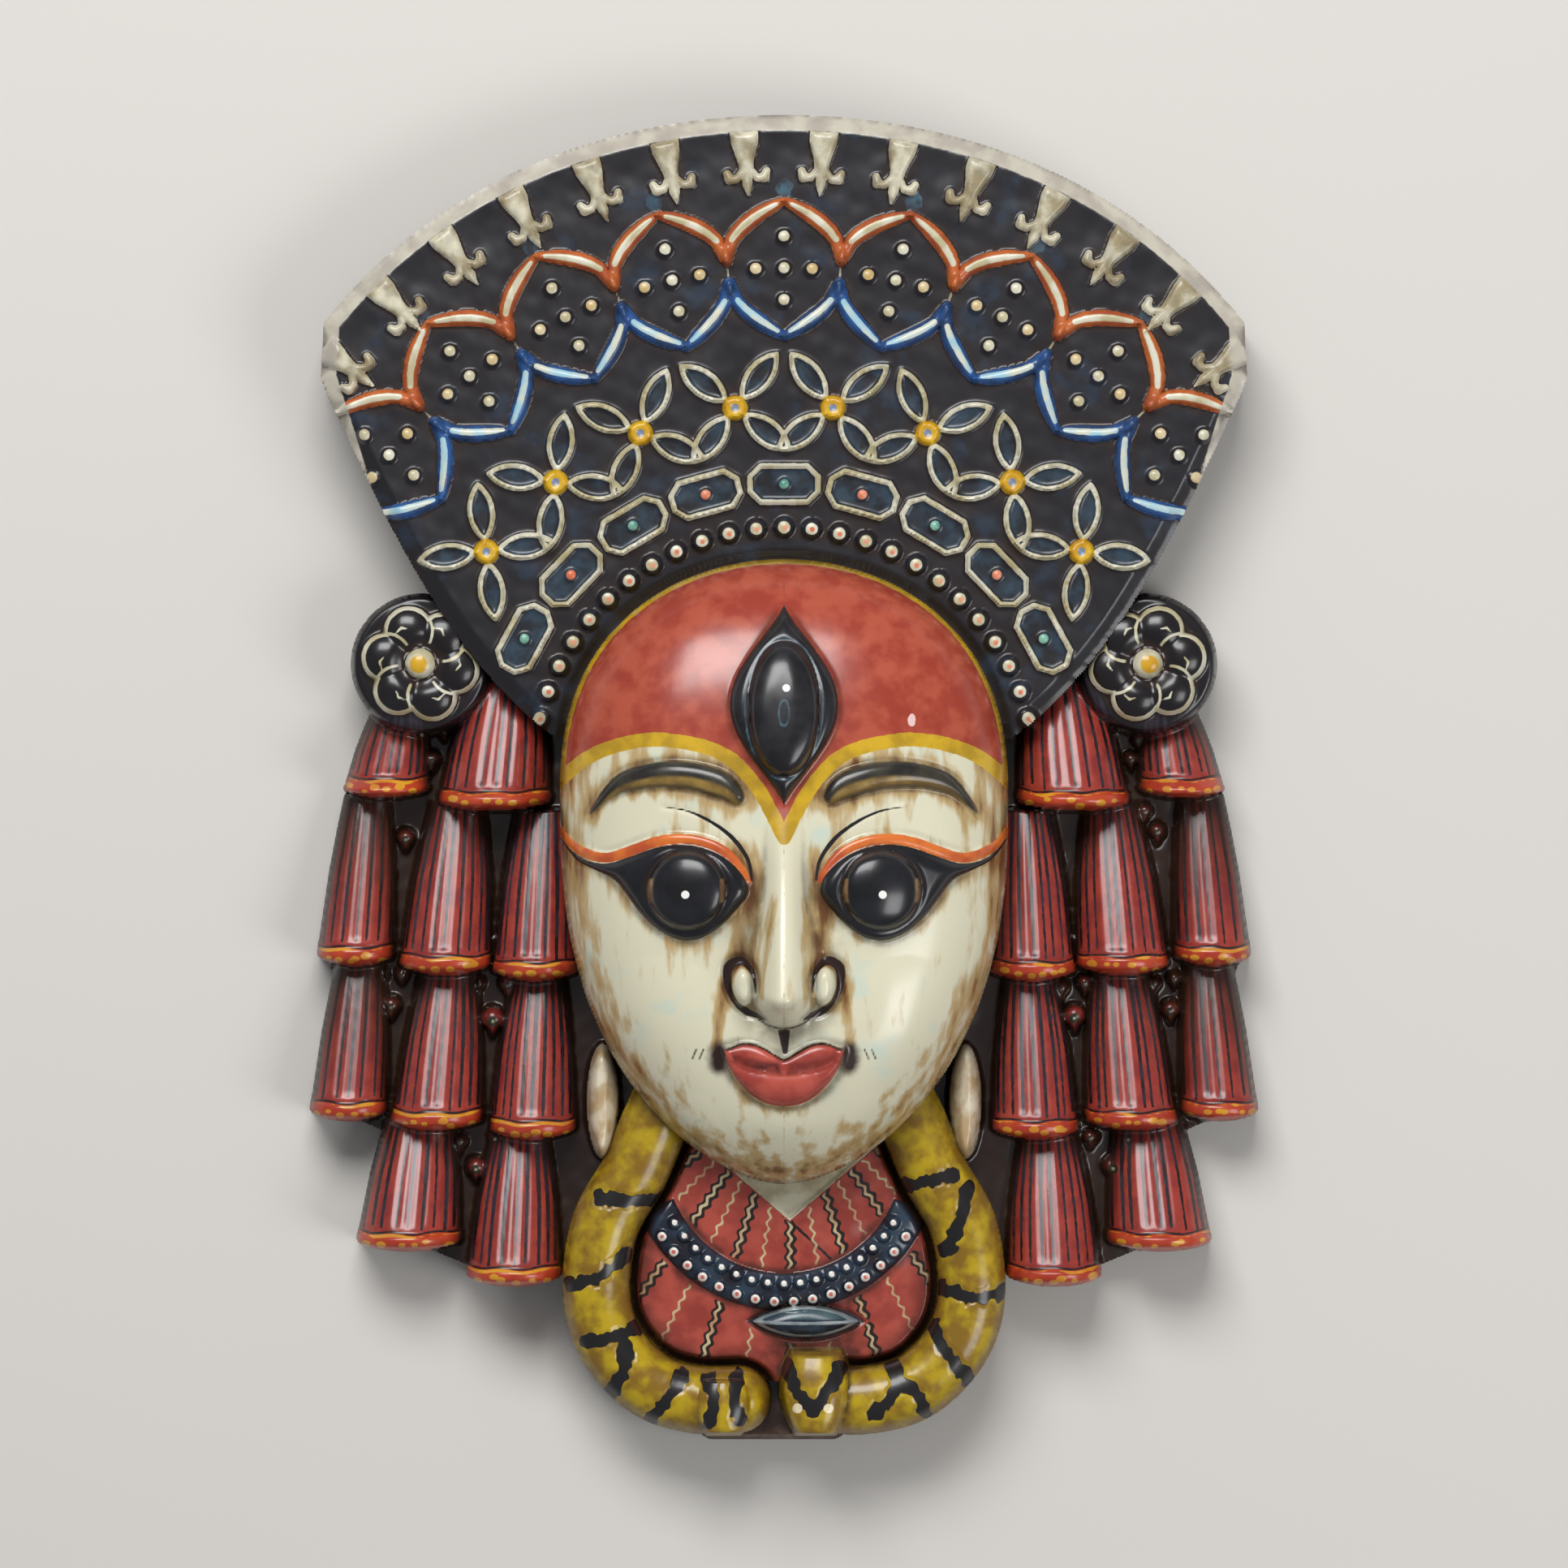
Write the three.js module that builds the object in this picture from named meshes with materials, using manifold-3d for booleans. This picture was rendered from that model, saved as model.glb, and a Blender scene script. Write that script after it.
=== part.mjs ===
// A goddess mask, carved from one block of wood, lying on its back with the face up.
// Millimetres. +Z points out of the face, +Y to the top of the crown, and the origin is on the
// back plane, under the middle of the mask.
import * as THREE from "three";
import { mergeVertices } from "three/addons/utils/BufferGeometryUtils.js";
import Module from "manifold-3d";

// Overall
const maskHeight = 460;
const maskWidth = 331;
const buried = 8; // how far a carved form reaches down into what it stands on
const edgeDip = 0.5; // how far the two edges of a ridge dip under the surface it stands on

// Crown: its rim is part of a circle, a little fuller towards the corners
const crownRimRadius = 201;
const crownRimFullness = 0.022;
const crownArchRadius = 80; // inner arch, over the forehead
const crownSurface = 36;
const crownChamfer = 4;
const crownRimSteps = 26;
const crownSideSteps = 5;
const crownRimAngle = 54.5; // degrees from the middle line to the crown's corner
const crownFootAngle = 80; // the same at the crown's foot, beside the temples

// Rows of carving on the crown: two keep their distance from the arch, three from the rim.
// End angles are degrees from the middle line.
const beadRowRadius = crownArchRadius + 7;
const beadCount = 25;
const beadRadius = 3.6;
const beadRise = 3;
const beadEndAngle = 76;
const jewelRowRadius = crownArchRadius + 22;
const jewelCount = 9;
const jewelEndAngle = 61.6;
const jewelLength = 25;
const jewelWidth = 14;
const jewelRise = 2.4;
const starRowRadius = crownRimRadius - 71.5;
const starCount = 8;
const starEndAngle = 52.6;
const starPetalLength = 24.5;
const starPetalWidth = 9.5;
const starPetalRise = 2.2;
const starHubRadius = 4.3;
const starHubRise = 3;
const lozengeRowRadius = crownRimRadius - 24.5;
const lozengeCount = 9;
const lozengeEndAngle = 50.7;
const lozengeHalfHeight = 23.5;
const lozengeBulge = 0.5; // below 1 the sides bulge, and at 1 they are straight
const ridgeWidth = 4.4;
const ridgeRise = 2.6;
const ridgeClearance = 4; // from the row's middle to where its ridges start
const dropCount = 14;
const dropEndAngle = 52.6;
const dropLength = 21;
const dropTopRadius = crownRimRadius - 5;
const dropWidth = 10;
const dropRise = 2.4;

// Face
const faceWidth = 155;
const faceHeight = 216;
const faceTop = 76;
const faceEdge = 34; // height of the face's outline over the back plane
const faceRise = 42;
const noseRise = 21;
const noseWidth = 36;
const nostrilRadius = 7.5;
const nostrilRise = 9;
const nostrilHeight = 10; // of its middle, over the foot of the nose
const socketDepth = 5;
const cheekRise = 2.5;
const chinRise = 4;
const eyeWidth = 44;
const eyeHeight = 33;
const eyeRise = 8;
const eyeInnerCorner = 11;
const browWidth = 8;
const browRise = 3.2;
const mouthWidth = 41;
const mouthSwell = 3; // how far the face swells forward under the lips
const lipRise = 4.5;
const thirdEyeWidth = 37;
const thirdEyeHeight = 69;
const thirdEyeFoot = -9;
const thirdEyeRise = 9;
const faceWall = 15;

// Temple flowers
const templeX = 126;
const templeY = 40;
const templeRadius = 20.5;
const templePetals = 6;
const templeFirstPetal = 20; // degrees from the middle line's direction, towards the face
const templeSurface = 28;
const templePetalRise = 6;
const templeBossRadius = 5;
const templeLobe = 4; // ground that shows around the flower

// Tassels: four rows down each side. x and half are the middle and half the width at the hem.
const tasselLean = 3;
const tasselFlutes = 4;
const fluteDepth = 0.08; // share of the tassel's half width
const tasselGround = 22;
const tasselDepth = 1.05; // height of a tassel over its ground, as a share of its half width
const tasselFall = 0.11; // how much lower the ground is for each millimetre further out
const outerTasselHalf = 13.6; // the widest row's outer tassel, whose side is the mask's side
const tasselRows = [
  { lengths: [46, 31], hems: [-11, -6.5], xs: [101, 139], halves: [19.5, 15] },
  { lengths: [60, 60, 60], hems: [-70, -68, -65], xs: [86.5, 118, 149.5], halves: [15, 16.2, 13.5] },
  {
    lengths: [58, 58, 58],
    hems: [-125, -122, -119],
    xs: [87.5, 121, maskWidth / 2 - outerTasselHalf],
    halves: [15, 16, outerTasselHalf],
  },
  { lengths: [54, 50], hems: [-176, -164], xs: [94, 131], halves: [16.5, 18.2] },
];

// A bud in each gap between tassels
const budRadius = 4;
const budRise = 8;
const budPlaces = [
  [117.5, 18],
  [122, -11],
  [134, -69],
  [103, -70],
  [107, -126],
];

// Ear drops
const earX = 63;
const earY = -112;
const earLength = 40;
const earWidth = 11;
const earSurface = 36;

// Serpent, collar and necklace
const serpentSpread = 65; // from the middle line to the middle of the body, at its widest
const serpentTop = -118;
const serpentRadius = 11.8;
const serpentSurface = 38;
const serpentHead = { x: 11, width: 26, length: 31, rise: 14 };
const serpentTail = { x: -21, width: 22, length: 22, rise: 10 };
const footLip = 3; // bare wood that shows below the serpent
const lipX = -4;
const lipWidth = 52;
const lipHeight = 18;
const clothSurface = 26;
const clothRise = 5;
const throatY = -130; // middle of the necklace's circle
const necklaceRadius = 47.8;
const necklaceWidth = 13;
const necklaceRise = 4;
const necklaceEndAngle = 68;
const pendantX = 7.5;
const pendantY = -188;
const pendantLength = 37.5;
const pendantWidth = 11.5;
const pendantRise = 6;

const degrees = Math.PI / 180;
const halfHeight = maskHeight / 2;
const belowBack = -2; // every form starts below the back plane and is cut off there
const { clamp, lerp, smoothstep } = THREE.MathUtils;

const wasm = await Module();
wasm.setup();

// A closed three.js geometry as a solid that can be joined and cut
function solid(geometry) {
  const bare = new THREE.BufferGeometry().setAttribute("position", geometry.getAttribute("position"));
  bare.setIndex(geometry.index);
  const merged = mergeVertices(bare, 1e-4);
  const index = merged.index.array;
  const kept = [];
  for (let i = 0; i < index.length; i += 3) {
    const [a, b, c] = index.slice(i, i + 3);
    if (a !== b && b !== c && c !== a) kept.push(a, b, c);
  }
  return new wasm.Manifold(
    new wasm.Mesh({
      numProp: 3,
      vertProperties: merged.attributes.position.array,
      triVerts: new Uint32Array(kept),
    }),
  );
}

// A box of columns by rows, whose points go to place(u, v, top): u across, v along
function block(columns, rows, place) {
  const box = new THREE.BoxGeometry(1, 1, 1, columns, rows, 1);
  const points = box.attributes.position;
  for (let i = 0; i < points.count; i++) {
    const [u, v] = [points.getX(i) + 0.5, points.getY(i) + 0.5];
    points.setXYZ(i, ...place(u, v, points.getZ(i) > 0));
  }
  return solid(box);
}

// A rounded ridge over the surface ground(x, y), along path(t), half(t) wide to each side and
// rise(t) high
function ridge(ground, path, half, rise, steps, across = 2) {
  const ahead = 0.001;
  return block(across, steps, (u, v, top) => {
    const at = clamp(v, ahead, 1 - ahead);
    const [x0, y0] = path(at - ahead);
    const [x1, y1] = path(at + ahead);
    const long = Math.hypot(x1 - x0, y1 - y0);
    const side = 2 * u - 1;
    const [px, py] = path(v);
    const x = px + ((y1 - y0) / long) * side * half(v);
    const y = py - ((x1 - x0) / long) * side * half(v);
    const lift = (rise(v) + edgeDip) * Math.sqrt(1 - side ** 2) - edgeDip;
    return [x, y, ground(x, y) + (top ? lift : -buried)];
  });
}

// A leaf from one point to another, pointed at both ends
function leaf(ground, from, to, width, rise, steps = 4) {
  const path = (t) => [lerp(from[0], to[0], t), lerp(from[1], to[1], t)];
  const swell = (t) => Math.sin(Math.PI * t);
  return ridge(ground, path, (t) => (width / 2) * swell(t), (t) => rise * swell(t), steps);
}

const toPoints = (pairs) => pairs.map((pair) => new THREE.Vector2(...pair));

// A low dome on the surface ground(x, y)
function stud(ground, x, y, radius, rise, sides = 5) {
  const profile = [[0, -buried], [radius, -buried], [radius, rise * 0.2], [0, rise]];
  if (sides > 6) profile.splice(3, 0, [radius * 0.7, rise * 0.75]);
  const dome = new THREE.LatheGeometry(toPoints(profile), sides);
  return solid(dome.rotateX(Math.PI / 2).translate(x, y, ground(x, y)));
}

// A flat plate of that outline, turned by angle, standing rise over the surface ground(x, y)
function plate(ground, outline, x, y, angle, rise) {
  const raised = new THREE.ExtrudeGeometry(outline, { depth: buried + rise, bevelEnabled: false });
  return solid(raised.rotateZ(angle).translate(x, y, ground(x, y) - buried));
}

const join = (solids) => wasm.Manifold.union(solids);
const times = (count, make) => Array.from({ length: count }, (_, i) => make(i));
const spread = (i, count, end) => lerp(-end, end, i / (count - 1)) * degrees;
const around = (radius, angle) => [radius * Math.sin(angle), radius * Math.cos(angle)];

// The crown's own circles move up as they grow, from the arch to the rim
function crownShare(radius) {
  return Math.max(0, (radius - crownArchRadius) / (crownRimRadius - crownArchRadius));
}

function crownCentre(radius) {
  return (halfHeight - crownRimRadius) * crownShare(radius) ** 1.4;
}

function crownPoint(radius, angle) {
  const full = radius * (1 + crownRimFullness * crownShare(radius) * Math.sin(2 * angle) ** 2);
  return [full * Math.sin(angle), crownCentre(radius) + full * Math.cos(angle)];
}

// The crown's side, as an angle: it swings in below the corner, and the corner is rounded
function crownReach(radius) {
  const share = clamp(1 - crownShare(radius), 0, 1);
  const corner = 3.5 * smoothstep(radius, crownRimRadius - 13, crownRimRadius) ** 2;
  return (crownRimAngle + (crownFootAngle - crownRimAngle) * share ** 1.35 - corner) * degrees;
}

// The crown's board, whose top and bottom outlines are drawn in by the chamfer
function crownBoard(top, drawnIn, chamfer) {
  const rim = times(crownRimSteps + 1, (i) => {
    const angle = lerp(1, -1, i / crownRimSteps) * crownReach(crownRimRadius);
    return crownPoint(crownRimRadius, angle);
  });
  const side = times(crownSideSteps, (i) => {
    const radius = lerp(crownRimRadius, crownArchRadius, ((i + 1) / crownSideSteps) ** 1.4);
    return crownPoint(radius, -crownReach(radius));
  });
  const farSide = side.map(([x, y]) => [-x, y]).reverse();
  const shape = new THREE.Shape(toPoints([...rim, ...side, ...farSide]));
  return new THREE.ExtrudeGeometry(shape, {
    depth: top - crownChamfer,
    bevelThickness: crownChamfer,
    bevelSize: chamfer,
    bevelOffset: -drawnIn,
    bevelSegments: 1,
  });
}

const crownGround = () => crownSurface;

function beads() {
  return times(beadCount, (i) => {
    const [x, y] = around(beadRowRadius, spread(i, beadCount, beadEndAngle));
    return stud(crownGround, x, y, beadRadius, beadRise);
  });
}

function jewels() {
  const cut = jewelWidth * 0.3;
  const [a, b] = [jewelLength / 2, jewelWidth / 2];
  const corners = [
    [-a + cut, -b], [a - cut, -b], [a, -b + cut], [a, b - cut],
    [a - cut, b], [-a + cut, b], [-a, b - cut], [-a, -b + cut],
  ];
  const outline = new THREE.Shape(toPoints(corners));
  return times(jewelCount, (i) => {
    const angle = spread(i, jewelCount, jewelEndAngle);
    const [x, y] = around(jewelRowRadius, angle);
    return plate(crownGround, outline, x, y, -angle, jewelRise);
  });
}

// Stars of four pointed petals around a round hub
function stars() {
  return times(starCount, (i) => {
    const angle = spread(i, starCount, starEndAngle);
    const [x, y] = around(starRowRadius, angle);
    const petals = times(4, (k) => {
      const [dx, dy] = around(1, angle + (45 + 90 * k) * degrees);
      const ends = [starHubRadius * 0.7, starPetalLength].map((reach) => [x + dx * reach, y + dy * reach]);
      return leaf(crownGround, ...ends, starPetalWidth, starPetalRise, 2);
    });
    return join([...petals, stud(crownGround, x, y, starHubRadius, starHubRise, 8)]);
  });
}

// Lozenges drawn by four curved ridges each
function lozenges() {
  const made = [];
  const halfAngle = lozengeEndAngle / (lozengeCount - 1);
  for (let i = 0; i < lozengeCount; i++) {
    const middle = spread(i, lozengeCount, lozengeEndAngle);
    for (const side of [-1, 1])
      for (const end of [-1, 1]) {
        const path = (t) => {
          const out = ridgeClearance + (lozengeHalfHeight - ridgeClearance) * t ** lozengeBulge;
          return around(lozengeRowRadius + end * out, middle + side * halfAngle * (1 - t) * degrees);
        };
        const swell = (t) => Math.sin(Math.PI * lerp(0.12, 1, t ** 0.8));
        const half = (t) => (ridgeWidth / 2) * swell(t);
        made.push(ridge(crownGround, path, half, (t) => ridgeRise * swell(t), 3));
      }
  }
  return made;
}

// Lily drops that hang from the rim: a bulb, a waist and three tongues
function drops() {
  const [a, l] = [dropWidth / 2, dropLength];
  const half = [
    [0.5 * a, 0], [a, -0.22 * l], [0.36 * a, -0.56 * l], [1.25 * a, -0.7 * l], [0, -l],
  ];
  const outline = new THREE.Shape([
    ...half.map(([x, y]) => new THREE.Vector2(-x, y)),
    ...half.slice(0, -1).reverse().map(([x, y]) => new THREE.Vector2(x, y)),
  ]);
  return times(dropCount, (i) => {
    const angle = spread(i, dropCount, dropEndAngle);
    const [x, y] = crownPoint(dropTopRadius, angle);
    return plate(crownGround, outline, x, y, -angle, dropRise);
  });
}

// The carving that passes the crown's edge is cut off there
function crown() {
  const carving = join([...jewels(), ...stars(), ...lozenges(), ...drops()]);
  const within = solid(crownBoard(crownSurface + 2 * ridgeRise, crownChamfer + 0.5, 0));
  const board = solid(crownBoard(crownSurface, crownChamfer, crownChamfer));
  return join([board, carving.intersect(within), ...beads()]);
}

// The lines of the face, as shares of its height from the top
const faceFoot = faceTop - faceHeight;
const faceMiddle = faceTop - faceHeight / 2;
const browLine = faceTop - faceHeight / 3;
const eyeLine = faceTop - 0.52 * faceHeight;
const noseFoot = faceTop - 0.735 * faceHeight;
const mouthLine = faceTop - 0.812 * faceHeight;
const faceWidest = faceTop - 0.385 * faceHeight;

function faceHalfWidth(y) {
  if (y > faceWidest) {
    const up = clamp((y - faceWidest) / (faceTop - faceWidest), 0, 1);
    return (faceWidth / 2) * (1 - up ** 2.5) ** 0.5;
  }
  const down = clamp((faceWidest - y) / (faceWidest - faceFoot), 0, 1);
  return (faceWidth / 2) * (1 - down ** 2.5) ** 0.6;
}

function faceDome(x, y) {
  const across = clamp(Math.abs(x) / Math.max(faceHalfWidth(y), 0.01), 0, 1);
  const up = Math.abs((2 * (y - faceMiddle)) / faceHeight);
  const along = clamp(up, 0, 1);
  return faceEdge + faceRise * (1 - across ** 2.6) ** 0.5 * (1 - along ** 3.2) ** 0.5;
}

// A bump that is 1 at zero and fades to both sides
const fade = (distance, reach) => Math.exp(-((distance / reach) ** 2));

function faceGround(x, y) {
  const along = clamp((browLine - 6 - y) / (browLine - 6 - noseFoot), 0, 1);
  const under = smoothstep(y, noseFoot - 6, noseFoot + 3);
  const bridge = noseRise * along ** 1.2 * under * fade(x, lerp(6, 9.5, along));
  const sockets = socketDepth * fade(Math.abs(x) - eyeInnerCorner - 14, 19) * fade(y - eyeLine, 15);
  const cheeks = cheekRise * fade(Math.abs(x) - 40, 22) * fade(y - noseFoot, 26);
  const lips = mouthSwell * fade(x, 18) * fade(y - mouthLine, 14);
  const chin = chinRise * fade(x, 18) * fade(y - faceFoot - 21, 12);
  return faceDome(x, y) + bridge - sockets + cheeks + lips + chin;
}

function face() {
  return block(14, 18, (u, v, top) => {
    const side = 2 * u - 1;
    const y = lerp(faceFoot, faceTop, lerp(v, 0.5 - Math.cos(v * Math.PI) / 2, 0.65));
    const x = faceHalfWidth(y) * Math.sign(side) * Math.abs(side) ** 1.1;
    return [x, y, top ? faceGround(x, y) : belowBack];
  });
}

// The right eye: a bulging eyeball between pointed lids, the swept lid line and the brow
function eye() {
  const [inner, outer] = [eyeInnerCorner, eyeInnerCorner + eyeWidth];
  const ball = leaf(faceGround, [inner, eyeLine - 5], [outer, eyeLine + 3], eyeHeight, eyeRise, 6);
  const sweep = (t) => Math.sin(Math.PI * 0.8 * t ** 0.7);
  const lid = (t) => [lerp(inner + 3, faceWidth / 2 - 3, t), eyeLine + 17 * sweep(t)];
  const brow = (t) => [lerp(17, 64, t), browLine - 10 + 13 * Math.sin(Math.PI * t ** 0.8) - 5 * t];
  const swell = (t) => Math.sin(Math.PI * t);
  const browHeight = (t) => browRise * (1 - t);
  return join([
    ball,
    ridge(faceGround, lid, (t) => 0.6 + 2.2 * swell(t), (t) => 1.6 * swell(t), 6),
    ridge(faceGround, brow, (t) => 0.5 + (browWidth / 2) * (1 - t) ** 0.5, browHeight, 6),
  ]);
}

function nostril() {
  const ground = (x, y) => faceDome(x, y) + 2;
  const [x, y] = [noseWidth / 2 - nostrilRadius + 1, noseFoot + nostrilHeight];
  return stud(ground, x, y, nostrilRadius, nostrilRise, 8);
}

function lips() {
  const half = mouthWidth / 2;
  const upper = (t) => [lerp(-half, half, t), mouthLine + 2.5 + 2.6 * Math.abs(Math.sin(2 * Math.PI * t))];
  const lower = (t) => [lerp(-half, half, t), mouthLine - 7 * Math.sin(Math.PI * t)];
  const swell = (t) => lipRise * Math.sin(Math.PI * t);
  return join([
    ridge(faceGround, upper, (t) => 0.5 + 3 * Math.sin(Math.PI * t), swell, 8),
    ridge(faceGround, lower, (t) => 0.5 + 5.5 * Math.sin(Math.PI * t), swell, 6),
  ]);
}

// The upright third eye: a pointed lid, and the eyeball standing in it
function thirdEye() {
  const tip = thirdEyeFoot + thirdEyeHeight;
  const lid = leaf(faceGround, [0, thirdEyeFoot], [0, tip], thirdEyeWidth, thirdEyeRise * 0.5, 8);
  const onLid = (x, y) => faceGround(x, y) + thirdEyeRise * 0.4;
  const [low, high] = [thirdEyeFoot + thirdEyeHeight * 0.14, thirdEyeFoot + thirdEyeHeight * 0.8];
  return lid.add(leaf(onLid, [0, low], [0, high], thirdEyeWidth * 0.6, thirdEyeRise * 0.6, 6));
}

// The room behind the face, open at the back
const hollowFoot = faceFoot + faceWall + 12;
const hollowTop = faceTop - faceWall - 4;

function hollow() {
  return block(8, 8, (u, v, top) => {
    const y = lerp(hollowFoot, hollowTop, 0.5 - Math.cos(v * Math.PI) / 2);
    const ends = Math.sin(Math.PI * lerp(0.08, 0.92, v)) ** 0.3;
    const x = (2 * u - 1) * (faceHalfWidth(lerp(y, faceMiddle, -0.12)) - faceWall) * ends;
    return [x, y, top ? faceDome(x * 1.15, lerp(faceMiddle, y, 1.12)) - faceWall : 2 * belowBack];
  });
}

function templeFlower() {
  const ground = () => templeSurface;
  const lobe = new THREE.CylinderGeometry(
    templeRadius + templeLobe - 2, templeRadius + templeLobe, templeSurface - belowBack, 16,
  );
  const middle = (templeSurface + belowBack) / 2;
  const petals = times(templePetals, (i) => {
    const turn = (templeFirstPetal + (360 * i) / templePetals) * degrees;
    const [dx, dy] = around(templeRadius * 0.6, turn);
    return stud(ground, templeX + dx, templeY + dy, templeRadius * 0.42, templePetalRise, 6);
  });
  const boss = stud(() => templeSurface + 2, templeX, templeY, templeBossRadius, 5, 6);
  return join([solid(lobe.rotateX(Math.PI / 2).translate(templeX, templeY, middle)), ...petals, boss]);
}

// Shares of length, width and height up a tassel: under the hem, the rolled hem, body and neck
const tasselProfile = [
  [0, 0.9, 0.75],
  [0.1, 1, 1],
  [0.15, 0.94, 0.9],
  [1, 0.64, 0.4],
];

const groundAt = (x) => tasselGround - tasselFall * (x - faceWidth / 2);

function tassel(x, half, hem, length) {
  const columns = 2 * tasselFlutes;
  const rows = tasselProfile.length - 1;
  const outwards = x > faceWidth / 2 + 20 ? 1 : 0.5;
  return block(columns, rows, (u, v, top) => {
    const [along, wide, high] = tasselProfile[Math.round(v * rows)];
    const turn = (u - 0.5) * Math.PI;
    const grooved = along > 0.13 && Math.round(u * columns) % 2 === 0;
    const full = grooved ? 1 - fluteDepth : 1;
    const tx = x - tasselLean * outwards * along + half * wide * Math.sin(turn);
    const ty = hem + length * along + 3 * (1 - Math.cos(turn)) * (1 - along);
    const height = groundAt(x) - 6 + half * tasselDepth * high * full * Math.cos(turn) + 6 * (1 - along);
    return [tx, ty, top ? height : belowBack];
  });
}

// The upper rows are carved over the lower ones
function tassels() {
  return tasselRows.flatMap(({ lengths, hems, xs, halves }) =>
    xs.map((x, i) => tassel(x, halves[i], hems[i], lengths[i])),
  );
}

// The ground behind the tassels, a little inside the outermost of each row
function wing() {
  const inner = 40;
  const points = [
    [inner, faceTop - 20],
    [templeX - 6, templeY + templeRadius],
    [templeX + templeRadius, templeY],
  ];
  for (const { lengths, hems, xs, halves } of tasselRows) {
    const [x, half, hem, length] = [xs.at(-1), halves.at(-1), hems.at(-1), lengths.at(-1)];
    points.push([x - tasselLean + half * 0.6, hem + length * 0.8]);
    points.push([x + half * 0.9, hem + 7]);
  }
  const last = tasselRows.at(-1);
  points.push([last.xs[1], last.hems[1] + 3]);
  points.push([last.xs[0] + 10, last.hems[0] + 4]);
  points.push([last.xs[0] - last.halves[0] * 0.9, last.hems[0] + 5]);
  points.push([inner, last.hems[0] + 16]);
  const shape = new THREE.Shape(toPoints(points.reverse()));
  const depth = groundAt(faceWidth) - belowBack;
  const board = new THREE.ExtrudeGeometry(shape, { depth, bevelEnabled: false });
  return solid(board.translate(0, 0, belowBack));
}

function buds() {
  return budPlaces.map(([x, y]) => stud(() => groundAt(x) - 4, x, y, budRadius, budRise, 6));
}

function earDrop() {
  const depth = earSurface / 2 - belowBack / 2;
  const drop = new THREE.SphereGeometry(1, 10, 6).scale(earWidth / 2, earLength / 2, depth);
  return solid(drop.translate(earX, earY, earSurface - depth));
}

// One half of the serpent's loop, from beside the chin to the foot of the mask.
// Points are shares of the spread and of the way down.
const serpentFoot = -halfHeight + footLip + serpentRadius;
const serpentShares = [
  [0.56, -0.16], [0.68, 0], [0.8, 0.19], [0.95, 0.37], [1, 0.57],
  [0.97, 0.73], [0.86, 0.86], [0.68, 0.96], [0.45, 1], [0.25, 1],
];
const serpentPath = new THREE.CatmullRomCurve3(
  serpentShares.map(([x, down]) => new THREE.Vector3(x * serpentSpread, lerp(serpentTop, serpentFoot, down))),
);

function serpent() {
  const body = (t) => {
    const point = serpentPath.getPoint(t);
    return [point.x, point.y];
  };
  const level = serpentSurface - serpentRadius;
  const full = () => serpentRadius;
  const coil = ridge(() => level, body, full, full, 12, 4);
  const under = block(1, 12, (u, v, top) => {
    const [point, along] = [serpentPath.getPoint(v), serpentPath.getTangent(v)];
    const side = (2 * u - 1) * (serpentRadius - 0.5);
    return [point.x + along.y * side, point.y - along.x * side, top ? level : belowBack];
  });
  return coil.add(under);
}

// The serpent's head and tail lie over its body at the foot of the mask
function serpentEnd({ x, width, length, rise }) {
  const foot = -halfHeight + footLip - 1;
  const path = (t) => [x, foot + length * (1 - t)];
  const half = (t) => (width / 2) * Math.sin(Math.PI * lerp(0.2, 0.86, t)) ** 0.7;
  const high = (t) => rise * Math.sin(Math.PI * lerp(0.15, 0.75, t)) ** 0.5;
  return ridge(() => serpentSurface - serpentRadius / 2, path, half, high, 5, 4);
}

function clothGround(x, y) {
  return clothSurface + clothRise * fade(x, 34) * fade(y - throatY + 25, 45);
}

// The cloth inside the serpent's loop, and the lip of bare wood at its foot
function collar() {
  const cloth = block(6, 7, (u, v, top) => {
    const edge = serpentPath.getPoint(0.8 * (1 - v));
    const x = (2 * u - 1) * edge.x;
    return [x, edge.y, top ? clothGround(x, edge.y) : belowBack];
  });
  const lip = new THREE.BoxGeometry(lipWidth, 2 * (serpentRadius + footLip), lipHeight);
  const lipPlace = [lipX, -halfHeight + serpentRadius + footLip, lipHeight / 2 + belowBack];
  return cloth.add(solid(lip.translate(...lipPlace)));
}

function necklace() {
  const onArc = (radius, t) => {
    const angle = lerp(-necklaceEndAngle, necklaceEndAngle, t) * degrees;
    return [radius * Math.sin(angle), throatY - radius * Math.cos(angle)];
  };
  const rows = [-1, 1].map((side) => {
    const path = (t) => onArc(necklaceRadius + (side * necklaceWidth) / 4, t);
    return ridge(clothGround, path, () => necklaceWidth / 4, () => necklaceRise, 10);
  });
  const ends = [-1, 1].map((side) => [pendantX + (side * pendantLength) / 2, pendantY]);
  return join([...rows, leaf(clothGround, ...ends, pendantWidth, pendantRise, 8)]);
}

function mask() {
  const hair = [wing(), ...tassels(), ...buds()];
  const side = join([...hair, templeFlower(), earDrop(), serpent(), eye(), nostril()]);
  const ends = [serpentEnd(serpentHead), serpentEnd(serpentTail)];
  const middle = join([crown(), face(), collar(), ...ends, necklace(), lips(), thirdEye()]);
  const below = solid(new THREE.BoxGeometry(2 * maskWidth, 2 * maskHeight, 40).translate(0, 0, -20));
  return join([side, side.mirror([1, 0, 0]), middle]).subtract(hollow()).subtract(below);
}

function geometryOf(one) {
  const { vertProperties, triVerts } = one.getMesh();
  return new THREE.BufferGeometry()
    .setAttribute("position", new THREE.BufferAttribute(vertProperties, 3))
    .setIndex(new THREE.BufferAttribute(triVerts, 1));
}

const paint = new THREE.MeshStandardMaterial({ color: 0x9e3d2e, roughness: 0.35, metalness: 0 });
const carved = new THREE.Mesh(geometryOf(mask()), paint);
carved.name = "goddess_mask";

const group = new THREE.Group();
group.add(carved);
export default group;
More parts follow.
